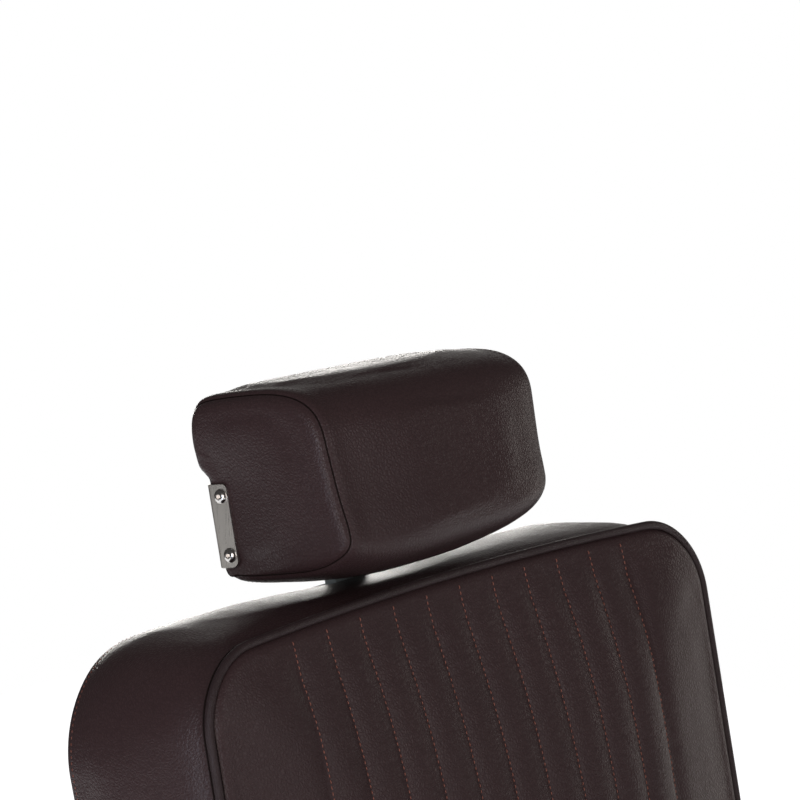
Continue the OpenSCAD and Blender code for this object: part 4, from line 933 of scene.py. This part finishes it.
def make_back(mats):
    pad = Pad(BACK_W, BACK_H, BACK_R, BACK_T, BACK_PUFF, PANEL_ROLL, BACK_FLUTES, BACK_ARCH, BACK_BAND_PUFF,
              BACK_REAR_R, BACK_DIP, BACK_REAR_LINE)
    place = BACK @ Matrix.Translation((0, -BACK_FRONT, BACK_LOW)) @ UPRIGHT
    floor_depth = BACK_FRONT + POCKET_FLOOR
    rear = [(-BACK_RIM * 0.4, BACK_T + 0.1 * MM), (-BACK_RIM, BACK_T + 0.1 * MM), (-BACK_RIM, floor_depth)]
    back = Upholstery("back_cushion_cover", pad, place, "back", mats, "back_cushion", rear)
    back.piping("back_piping", -0.6 * MM, 0.6 * MM)
    back.seam_shadow_lines("back_piping_seam_shadows")
    back.flute_stitches("back_flute_stitches")
    back.band_stitches("back_rear_topstitch", BACK_T - 5 * MM, "thread")
    (slot_x, slot_y0, slot_y1), (arm_x0, arm_x1, arm_y0, arm_y1) = BAR_SLOT, ARM_SLOT
    low, high = BACK_LOW - BACK_RIM, BACK_LOW + 2 * BACK_RIM
    boxes = [((-slot_x, slot_y0, BACK_TOP - 2 * BACK_RIM), (slot_x, slot_y1, BACK_TOP + BACK_RIM))]
    boxes += [((x0, arm_y0, low), (x1, arm_y1, high)) for x0, x1 in ((arm_x0, arm_x1), (-arm_x1, -arm_x0))]
    cut_boxes(back.cover, boxes, BACK)


def make_rear_panel(mats):
    pad = Pad(BACK_W - 2 * REAR_INSET, BACK_H - 2 * REAR_INSET, BACK_REAR_R - REAR_INSET, REAR_T, REAR_PUFF,
              PANEL_ROLL, 0, BACK_ARCH, 0.6 * MM)
    place = (BACK @ Matrix.Translation((0, BACK_T - BACK_FRONT + GAP + REAR_T, BACK_LOW + REAR_INSET))
             @ Matrix.Rotation(math.pi, 4, "Z") @ UPRIGHT)
    panel = Upholstery("rear_panel_cover", pad, place, "back", mats, "back_rear_panel")
    panel.piping("rear_panel_piping", 1.2 * MM, 0.2 * MM, 2.0 * MM)


def make_seat(mats):
    pad = Pad(SEAT_W, SEAT_DEPTH, SEAT_R, SEAT_T, PANEL_PUFF, PANEL_ROLL, SEAT_FLUTES)
    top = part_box("seat_board")[1].z + GAP + SEAT_T
    place = Matrix.Translation((0, -SEAT_FRONT, top))
    seat = Upholstery("seat_cushion_cover", pad, place, "seat", mats, "seat_cushion")
    seat.piping("seat_piping")
    seat.piping("seat_lower_piping", SEAT_T - 1.5 * MM, 0.2 * MM, 2.4 * MM)
    seat.flute_stitches("seat_flute_stitches")


def make_legrest(mats):
    pad = Pad(LEG_W, LEG_H, LEG_R, LEG_T, PANEL_PUFF, PANEL_ROLL, LEG_FLUTES, 0.0, 3 * MM)
    place = LEG @ Matrix.Translation((0, -LEG_BOARD_FACE - GAP - LEG_T, -LEG_TOP - LEG_H)) @ UPRIGHT
    leg = Upholstery("legrest_pad_cover", pad, place, "legrest", mats, "legrest_pad")
    leg.piping("legrest_piping")
    leg.flute_stitches("legrest_flute_stitches")


def make_arm_pads(mats):
    pad = Pad(ARM_W, ARM_LEN, ARM_R, ARM_T, 0.8 * PANEL_PUFF, ARM_R, 0, 0.0, 2.5 * MM)
    for side, sign in SIDES:
        node = f"arm_pad_{side}"
        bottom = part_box(node)[0].z
        place = Matrix.Translation((sign * ARM_X, -ARM_FRONT, bottom + ARM_T))
        arm = Upholstery(f"{node}_cover", pad, place, "seat", mats, node)
        arm.piping(f"{node}_piping", 0.0, 0.3 * MM, 2.4 * MM)
        arm.band_stitches(f"{node}_topstitch", TOPSTITCH_INSET + 2 * MM)


def make_arm_loops(mats):
    """Bent tubes: straight runs joined by round bends, as wide as the loops they stand for."""
    for side, sign in SIDES:
        node = f"arm_loop_{side}"
        low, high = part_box(node)
        z0, z1 = low.z + ARM_TUBE_R, high.z - ARM_TUBE_R
        corners = list(zip(ARM_CORNERS_Y, (z0, z0, z1, z1)))
        path = []
        for k, corner in enumerate(corners):
            before = np.array(corners[k - 1]) - corner
            after = np.array(corners[(k + 1) % 4]) - corner
            a, b = before / np.linalg.norm(before), after / np.linalg.norm(after)
            half = math.acos(a.dot(b)) / 2
            middle = corner + (a + b) / np.linalg.norm(a + b) * ARM_BEND / math.sin(half)
            start = corner + a * ARM_BEND / math.tan(half) - middle
            end = corner + b * ARM_BEND / math.tan(half) - middle
            turn = math.pi - 2 * half
            for s in [i / 24 for i in range(25)]:
                blend = (math.sin((1 - s) * turn) * start + math.sin(s * turn) * end) / math.sin(turn)
                path.append((sign * ARM_X, *(middle + blend)))
        loop = piece(f"{node}_tube", *tube(path, ARM_TUBE_R, 40), mats["chrome"], "seat", "chrome")
        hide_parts(node)


def turned(name, profile, material, body, slot, node):
    """A turned piece from (radius, height) in mm."""
    obj = piece(name, *lathe([(r * MM, z * MM) for r, z in profile]), material, body, slot)
    sharpen(obj, 30.0)
    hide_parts(node)


def make_base(mats):
    """Spun cover, housing, collar, gland and ram, with eased edges."""
    plate, top = PLATE_T, COVER_TOP
    steps = 60
    under = [(285 - 220 * k / steps, plate + 46 * (k / steps) ** 2.2) for k in range(steps + 1)]
    over = [(r, z + 2) for r, z in reversed(under)]
    rim = [(285.5, plate + 2), (286.2, plate + 1), (285.8, plate + 0.2)]
    bead = [(295 + 5 * math.cos(a), 10 + 5 * math.sin(a)) for a in np.linspace(0.15, math.pi, 14)]
    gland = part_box("pump_gland")[0].z / MM
    low, high = (v.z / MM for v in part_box("lift_ram"))
    for name, body, node, slot, profile in (
            ("base_spun_cover", "base", "base_cover", "chrome",
             under + [(57, top - 2), (57, top)] + over[:-1] + rim),
            ("base_rubber_ring", "base", "base_ring", "rubber",
             [(290, 0), (299.2, 0), (300, 0.8), (300, 10)] + bead),
            ("pump_tube", "base", "pump_housing", "chrome",
             [(0, plate), (88, plate), (88, 23), (87, 24), (55, 24), (55, 290.8), (54.6, 291.7), (53.8, 292),
              (46, 292), (46, 20), (0, 20)]),
            ("pump_neck_collar", "base", "pump_collar", "chrome",
             [(55.05, top), (69.8, top), (70.8, top + 0.4), (71.05, top + 1.4), (71.05, top + 4.6),
              (70.5, top + 6), (61.4, top + 15.1), (60, top + 15.8), (58.6, top + 16), (55.05, top + 16)]),
            ("pump_gland_nut", "base", "pump_gland", "chrome",
             [(25.05, gland), (45.9, gland), (45.9, 292), (58.6, 292), (59.5, 292.9), (59.5, 298.4),
              (58.9, 299), (58.9, 300), (59.5, 300.6), (59.5, 305.6), (58.9, 307.1), (57.4, 308),
              (30, 308), (28.4, 307), (27, 306.8), (25.05, 306.8)]),
            ("lift_ram_rod", "ram", "lift_ram", "chrome",
             [(0, low), (12, low), (12, low + 24), (24, low + 24), (25, low + 25), (25, 308.3), (35, 308.3),
              (36, 309.3), (36, 313.1), (35, 314.3), (25, 314.3), (25, high), (0, high)])):
        turned(name, profile, mats[slot], body, slot, node)


def make_side_panels(mats):
    """Boards wrapped in leather, with a topstitched rim, over the rails."""
    for side, sign in SIDES:
        node = f"side_panel_{side}"
        low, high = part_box(node)
        w, h, t = high.y - low.y, high.z - low.z, high.x - low.x
        pad = Pad(w, h, SIDE_R, t, SIDE_PUFF, SIDE_ROLL, 0, 0.0, 0.4 * MM)
        face = high.x if sign > 0 else low.x
        turn = Matrix.Rotation(sign * math.pi / 2, 4, "Z")
        place = Matrix.Translation((face, (low.y + high.y) / 2, low.z)) @ turn @ UPRIGHT
        panel = piece(f"{node}_cover", *pad.mesh(), mats["leather"], "seat", "leather", place)
        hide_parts(node)
        edge = resample(pad.outline(1 * MM), STITCH_PITCH)
        inner = edge - outward(edge) * TOPSTITCH_INSET
        out = place.to_3x3() @ Vector((0, 0, 1))
        row = dropped(panel, [(place @ Vector((x, y, 30 * MM)), -out) for x, y in inner])
        piece(f"{node}_topstitch", *stitch_mesh([row]), mats["dark_thread"], "seat", "leather")
        holes = [(y, ARM_BOLT_Z, ARM_BOLT_HOLE) for y in ARM_BOLTS_Y]
        for hole in holes + ([(*RELEASE_AT, RELEASE_HOLE)] if sign > 0 else []):
            cut_round(panel, (low.x + high.x) / 2, *hole)


# Headrest

def head_profile(passes=4):
    points = np.array(HEAD_SHARES) * (HEAD_DEPTH, HEAD_H)
    for _ in range(passes):
        after = np.roll(points, -1, 0)
        points = np.stack([0.75 * points + 0.25 * after, 0.25 * points + 0.75 * after], 1).reshape(-1, 2)
    points = resample(points, 2.2 * MM)
    area = 0.5 * np.sum(points[:, 0] * np.roll(points[:, 1], -1) - np.roll(points[:, 0], -1) * points[:, 1])
    return points if area > 0 else points[::-1]


HEAD_SEAM = HEAD_W / 2 - 1.6 * MM
HEAD_CENTRE = np.array([0.47 * HEAD_DEPTH, 0.5 * HEAD_H])
HEAD_STILL = 0.93 * HEAD_DEPTH
HEAD_MIDDLE = 49.8 * MM
# Distances of the rings from the end seams in mm
WRAP_INSETS = (0, 0.6, 1.4, 2.6, 4.2, 6.2, 8.6, 11.5, 15, 19.5, 25, 31, 38, 46, 55, 65, 76, 87, 98)
CAP_INSETS = (0.7, 1.6, 2.8, 4.2, 6, 8, 10.5, 13.5, 17, 21.5, 27, 34, 43, 51)
HEAD_SWELL = 1.1 * MM
WRAP_STITCH = 9 * MM
CAP_STITCH = 3.4 * MM
POCKET_X = 22.3 * MM
POCKET_Y = (BRACKET_REAR - BRACKET_T - 14 * MM, BRACKET_REAR + 10 * MM)
POCKET_Z = (HEAD_Z0 - 12 * MM, HEAD_Z0 + 56 * MM)

# The headrest's form in mm: its seams pull in, its faces swell, and its far end tapers by shares
PULL_FRONT, PULL_LOW, PULL_RIGHT, PULL_TOP = 0.8, 5.4, 4.0, 2.5
TUCK_LOW, TUCK_BOTTOM = 14.1, 2.2
FULL_TOP, FULL_BOTTOM, FULL_REAR = 0.5, 7.8, 3.0
PUFF_ENDS, CROWN_FRONT, REAR_OUT, GROOVE = 2.8, 9.6, 2.6, 1.5
TAPER_Z, TAPER_Y = 0.11, 0.04
CAP_CROWN, CAP_NEAR = 6.6, 5.2


def soft_ring(values, width=9):
    weights = np.hanning(width + 2)[1:-1]
    return sum(w * np.roll(values, k - width // 2) for k, w in enumerate(weights / weights.sum()))


class HeadForm:
    """The headrest's wrap and end caps: fuller in the middle and low in front, rolled in at the ends."""

    def __init__(self):
        self.line = head_profile()
        self.normals = outward(self.line)
        ny, nz = soft_ring(self.normals[:, 0]), soft_ring(self.normals[:, 1])
        self.front, self.top, self.bottom = np.maximum(0, -ny), np.maximum(0, nz), np.maximum(0, -nz)
        self.rear = np.maximum(0, ny) * smooth_step((self.line[:, 1] - 0.56 * HEAD_H) / (0.08 * HEAD_H))
        self.low = 1 - self.line[:, 1] / HEAD_H
        self.flat = (smooth_step((self.line[:, 0] - 0.86 * HEAD_DEPTH) / (0.05 * HEAD_DEPTH))
                     * smooth_step((0.62 * HEAD_H - self.line[:, 1]) / (0.06 * HEAD_H)))

    def wrap(self, side, d):
        """Ring at a distance d inside the end seam."""
        left = 1 - d / HEAD_SEAM
        right = 0.5 + 0.5 * side * left
        drawn = PULL_FRONT + PULL_LOW * self.low * right - PULL_RIGHT * max(0, side)
        pull = (self.front * drawn + self.top * PULL_TOP) * MM
        tuck = (self.front * (TUCK_LOW * self.low * right) + self.bottom * TUCK_BOTTOM) * MM
        puff = PUFF_ENDS * MM * (1 - 0.75 * self.front * (1 - right)) * rise(d, 15 * MM)
        middle = (self.top * FULL_TOP + self.bottom * FULL_BOTTOM + self.rear * FULL_REAR) * MM
        crown = self.front * CROWN_FRONT * MM * (1 - left ** (2.2 + 2.7 * right))
        swell = puff + middle * (1 - left ** 4.9) + crown - tuck * left ** 3.5 + self.rear * REAR_OUT * MM
        swell -= GROOVE * MM * math.exp(-d / (1.4 * MM))
        points = self.line + self.normals * (swell * (1 - self.flat))[:, None]
        x = left * (HEAD_SEAM - pull)
        far = 0.5 + 0.5 * side * x / HEAD_SEAM
        z = HEAD_MIDDLE + (points[:, 1] - HEAD_MIDDLE) * (1 - TAPER_Z * far)
        y = HEAD_STILL + (points[:, 0] - HEAD_STILL) * (1 - TAPER_Y * far)
        return np.column_stack([side * x, y, z])

    def cap(self, side, d):
        """Ring at a distance d inside the end seam, on the end panel."""
        seam = self.wrap(side, 0.0)
        points = HEAD_CENTRE + (seam[:, 1:] - HEAD_CENTRE) * (1 - d / (0.5 * HEAD_H))
        near = (smooth_step((points[:, 0] - 0.36 * HEAD_DEPTH) / (0.44 * HEAD_DEPTH))
                * smooth_step((0.86 * HEAD_H - points[:, 1]) / (0.4 * HEAD_H)))
        crown = (CAP_CROWN - CAP_NEAR * near) * MM
        edge = np.abs(seam[:, 0])
        x = edge + (HEAD_SEAM + crown - edge) * rise(d, (9 + 11 * self.front) * MM)
        return np.column_stack([side * x, points])


def swelled_head(form, verts, faces):
    """Lets the cover find its own fullness between the end seams and the bracket, round the drawn form."""
    seams = point_tree(np.vstack([form.wrap(side, 0.0) for side in (-1, 1)]))

    def pinned(points):
        flat = (points[:, 1] > 0.9 * HEAD_DEPTH) & (points[:, 2] < 0.6 * HEAD_H)
        return flat | (np.array([seams.find(p)[2] for p in points]) < 4 * MM)

    swell = Swell(verts, faces, 6 * MM, pinned)
    moves = swell.at(verts)
    far = np.linalg.norm(moves, axis=1)
    scale = HEAD_SWELL / max(1e-6, np.mean(far))
    near = np.array([seams.find(p)[2] for p in verts])
    mesh = new_mesh("form", verts, faces)
    normals = np.array([tuple(v.normal) for v in mesh.vertices])
    bpy.data.meshes.remove(mesh)
    held = smooth_step((near - 2 * MM) / (14 * MM)) * (far > 1e-5)
    change = np.sum(moves * scale * normals, axis=1) - HEAD_SWELL
    return verts + normals * (np.clip(change, -HEAD_SWELL, HEAD_SWELL) * held)[:, None]


def make_headrest(mats):
    """The wrapped body swells from two end seams; each end cap is a softly crowned panel."""
    form = HeadForm()
    rings = [form.wrap(-1, d * MM) for d in WRAP_INSETS] + [form.wrap(1, HEAD_SEAM)]
    rings += [form.wrap(1, d * MM) for d in reversed(WRAP_INSETS)]
    n, m = len(form.line), len(rings)
    verts, faces = [np.vstack(rings)], ring_quads(m, n)
    for side, ring in ((-1, 0), (1, m - 1)):
        last = list(range(ring * n, ring * n + n))
        for d in CAP_INSETS:
            base = sum(len(v) for v in verts)
            verts.append(form.cap(side, d * MM))
            new = list(range(base, base + n))
            quads = [(last[q], last[(q + 1) % n], new[(q + 1) % n], new[q]) for q in range(n)]
            faces += mirrored(quads, side)
            last = new
        base = sum(len(v) for v in verts)
        verts.append(np.mean(verts[-1], axis=0)[None, :])
        faces += mirrored([(last[q], last[(q + 1) % n], base) for q in range(n)], side)
    verts = np.vstack(verts)
    verts = swelled_head(form, verts, faces)
    place = BACK @ Matrix.Translation((0, HEAD_Y0, HEAD_Z0))
    cover = piece("headrest_cover", verts, faces, mats["leather"], "headrest", "leather_on_foam", place)
    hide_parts("headrest_cushion")
    surface = surface_of(cover)
    # A near-black tube along each end seam paints the shadow in the seam's groove
    seams = joined([tube(resample(form.wrap(side, 0.0), 2 * MM), 0.6 * MM, 8) for side in (-1, 1)])
    piece("headrest_end_seam_shadows", *seams, mats["seam_shadow"], "headrest", "leather_on_foam", place)
    for name, ring_at, d in (("headrest_wrap_topstitch", form.wrap, WRAP_STITCH),
                             ("headrest_cap_topstitch", form.cap, CAP_STITCH)):
        rows = [nearest(surface, [place @ Vector(p) for p in resample(ring_at(side, d), STITCH_PITCH)])
                for side in (-1, 1)]
        stitches = stitch_mesh(rows, -0.3, 0.8 * THREAD_R)
        piece(name, *stitches, mats["dark_thread"], "headrest", "leather_on_foam")
    cut_boxes(cover, [((-POCKET_X, POCKET_Y[0], POCKET_Z[0]), (POCKET_X, POCKET_Y[1], POCKET_Z[1]))], BACK)


# Headrest bracket

def rounded_shift(e, r):
    """How far a rounded corner draws an edge in at a distance e from the corner."""
    return r - math.sqrt(max(0.0, r * r - max(0.0, r - e) ** 2))


def bent_sheet(path, low, high, half):
    """A sheet along a plan path of (point, normal), with eased edges from low(s) to high(s)."""
    ease = 0.35 * half
    verts = []
    for k, (x, y, nx, ny) in enumerate(path):
        z0, z1 = low[k], high[k]
        ring = []
        for side in (-1, 1):
            column = [(half - ease, z0), (half, z0 + ease)]
            column += [(half, z0 + ease + (z1 - z0 - 2 * ease) * q / 6) for q in range(1, 6)]
            column += [(half, z1 - ease), (half - ease, z1)]
            column = column if side > 0 else column[::-1]
            ring += [(x + side * o * nx, y + side * o * ny, z) for o, z in column]
        verts += ring
    return verts, bar_faces(len(path), len(ring))


def bracket_path():
    """Half of the strap in plan, from an ear to the flange's front edge, and where that edge lies."""
    half_x = HEAD_W / 2 + GAP + BRACKET_T / 2
    rear = BRACKET_REAR - BRACKET_T / 2
    front = BRACKET_REAR - BRACKET_FLANGE
    bend = 3 * MM
    path = [(x, rear, 0.0, 1.0) for x in np.linspace(EAR_IN, half_x - bend, 26)]
    for a in np.linspace(0, math.pi / 2, 9)[1:]:
        across, along = math.sin(a), math.cos(a)
        path.append((half_x - bend + bend * across, rear - bend + bend * along, across, along))
    run = rear - bend - front
    steps = [0.12, 0.25, 0.38, 0.5, 0.6, 0.7, 0.76, 0.81, 0.85, 0.89, 0.92, 0.95, 0.975, 0.99, 1.0]
    return path + [(half_x, rear - bend - run * t, 1.0, 0.0) for t in steps], front


def make_bracket(mats):
    """A bent steel strap with rounded flange corners, two ears at the bar and four dome screws."""
    z0, z1 = HEAD_Z0 + BRACKET_LOW, HEAD_Z0 + BRACKET_HIGH
    path, front = bracket_path()
    ends = [y - front if nx > 0.99 else 99 * MM for x, y, nx, ny in path]
    low = [z0 + rounded_shift(e, 5 * MM) for e in ends]
    high = [z1 - rounded_shift(e, 3.5 * MM) for e in ends]
    parts, half = [], BRACKET_T / 2
    for side in (-1, 1):
        verts, faces = bent_sheet([(side * x, y, side * nx, ny) for x, y, nx, ny in path], low, high, half)
        parts.append((verts, mirrored(faces, side)))
    bridge = [(x, BRACKET_REAR - half, 0.0, 1.0) for x in np.linspace(-EAR_IN, EAR_IN, 9)]
    parts.append(bent_sheet(bridge, [HEAD_PIN_Z + 5 * MM] * 9, [z1] * 9, half))
    for side in (-1, 1):
        block = bmesh.new()
        bmesh.ops.create_cube(block, size=1.0)
        bmesh.ops.scale(block, vec=(EAR_W, BAR_T + BRACKET_T / 2, 2 * BAR_T), verts=block.verts)
        bmesh.ops.bevel(block, geom=block.edges[:], offset=0.8 * MM, segments=3, affect="EDGES", profile=0.5)
        ear_y = BRACKET_REAR - BRACKET_T - BAR_T / 2 + BRACKET_T / 4
        middle = Vector((side * (EAR_IN + EAR_W / 2), ear_y, HEAD_PIN_Z))
        parts.append(([v.co + middle for v in block.verts],
                      [[v.index for v in f.verts] for f in block.faces]))
        block.free()
    strap = joined(parts)
    bracket = piece("headrest_bracket_strap", *strap, mats["satin_steel"], "headrest", "brushed_steel", BACK)
    sharpen(bracket)
    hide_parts("headrest_bracket")
    make_screws(mats, z0, z1)


def make_screws(mats, z0, z1):
    """Dome heads with a hexagonal socket."""
    height, socket = 2.6 * MM, 2.1 * MM
    rings = [(SCREW_R, 0.0), (SCREW_R, 0.5 * MM), (0.97 * SCREW_R, 0.9 * MM), (0.88 * SCREW_R, 1.5 * MM),
             (0.76 * SCREW_R, 2.05 * MM), (0.62 * SCREW_R, 2.42 * MM), (0.5 * SCREW_R, height)]
    n = 48
    verts = []
    for r, h in rings:
        verts += [(h, r * math.cos(a), r * math.sin(a)) for a in turns(n)]
    for h in (height, 0.4 * MM):
        for a in turns(n):
            r = socket * math.cos(math.pi / 6) / math.cos((a + math.pi / 6) % (math.pi / 3) - math.pi / 6)
            verts.append((h, r * math.cos(a), r * math.sin(a)))
    faces = bar_faces(len(rings) + 2, n)
    half, y0 = HEAD_W / 2 + GAP + BRACKET_T, BRACKET_REAR - BRACKET_FLANGE + SCREW_FRONT
    heads = joined([([(side * (half + h), y0 + y, z + w) for h, y, w in verts], mirrored(faces, side))
                    for side in (-1, 1) for z in (z0 + SCREW_INSET, z1 - SCREW_INSET)])
    screws = piece("headrest_dome_screws", *heads, mats["screw_steel"], "headrest", "zinc_steel", BACK)
    sharpen(screws)
    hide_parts("headrest_screws")


def sharpen(obj, angle=40.0):
    """Smooth shading that keeps edges sharper than an angle."""
    mesh = bmesh.new()
    mesh.from_mesh(obj.data)
    bmesh.ops.recalc_face_normals(mesh, faces=mesh.faces)
    for edge in mesh.edges:
        edge.smooth = edge.calc_face_angle(0.0) < math.radians(angle)
    mesh.to_mesh(obj.data)
    mesh.free()


# Carried-over nodes

def dress_nodes(frame, mats):
    slots = {s["node"]: s["material_slot"] for s in frame["record"]["subparts"]}
    for name, node in frame["nodes"].items():
        node.data.materials.clear()
        node.data.materials.append(mats["bar_steel" if name == "headrest_bar" else slots[name]])


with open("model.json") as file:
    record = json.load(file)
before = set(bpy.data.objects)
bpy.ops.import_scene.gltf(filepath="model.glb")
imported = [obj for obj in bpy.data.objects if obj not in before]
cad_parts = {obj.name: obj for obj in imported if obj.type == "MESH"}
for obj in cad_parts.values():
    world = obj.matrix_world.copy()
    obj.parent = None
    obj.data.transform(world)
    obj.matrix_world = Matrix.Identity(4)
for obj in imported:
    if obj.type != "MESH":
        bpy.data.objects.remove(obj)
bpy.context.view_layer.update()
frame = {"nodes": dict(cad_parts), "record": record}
set_camera()
set_studio()
materials = make_materials()
dress_nodes(frame, materials)
for make in (make_back, make_rear_panel, make_seat, make_legrest, make_arm_pads, make_arm_loops, make_base,
             make_side_panels, make_headrest, make_bracket):
    make(materials)
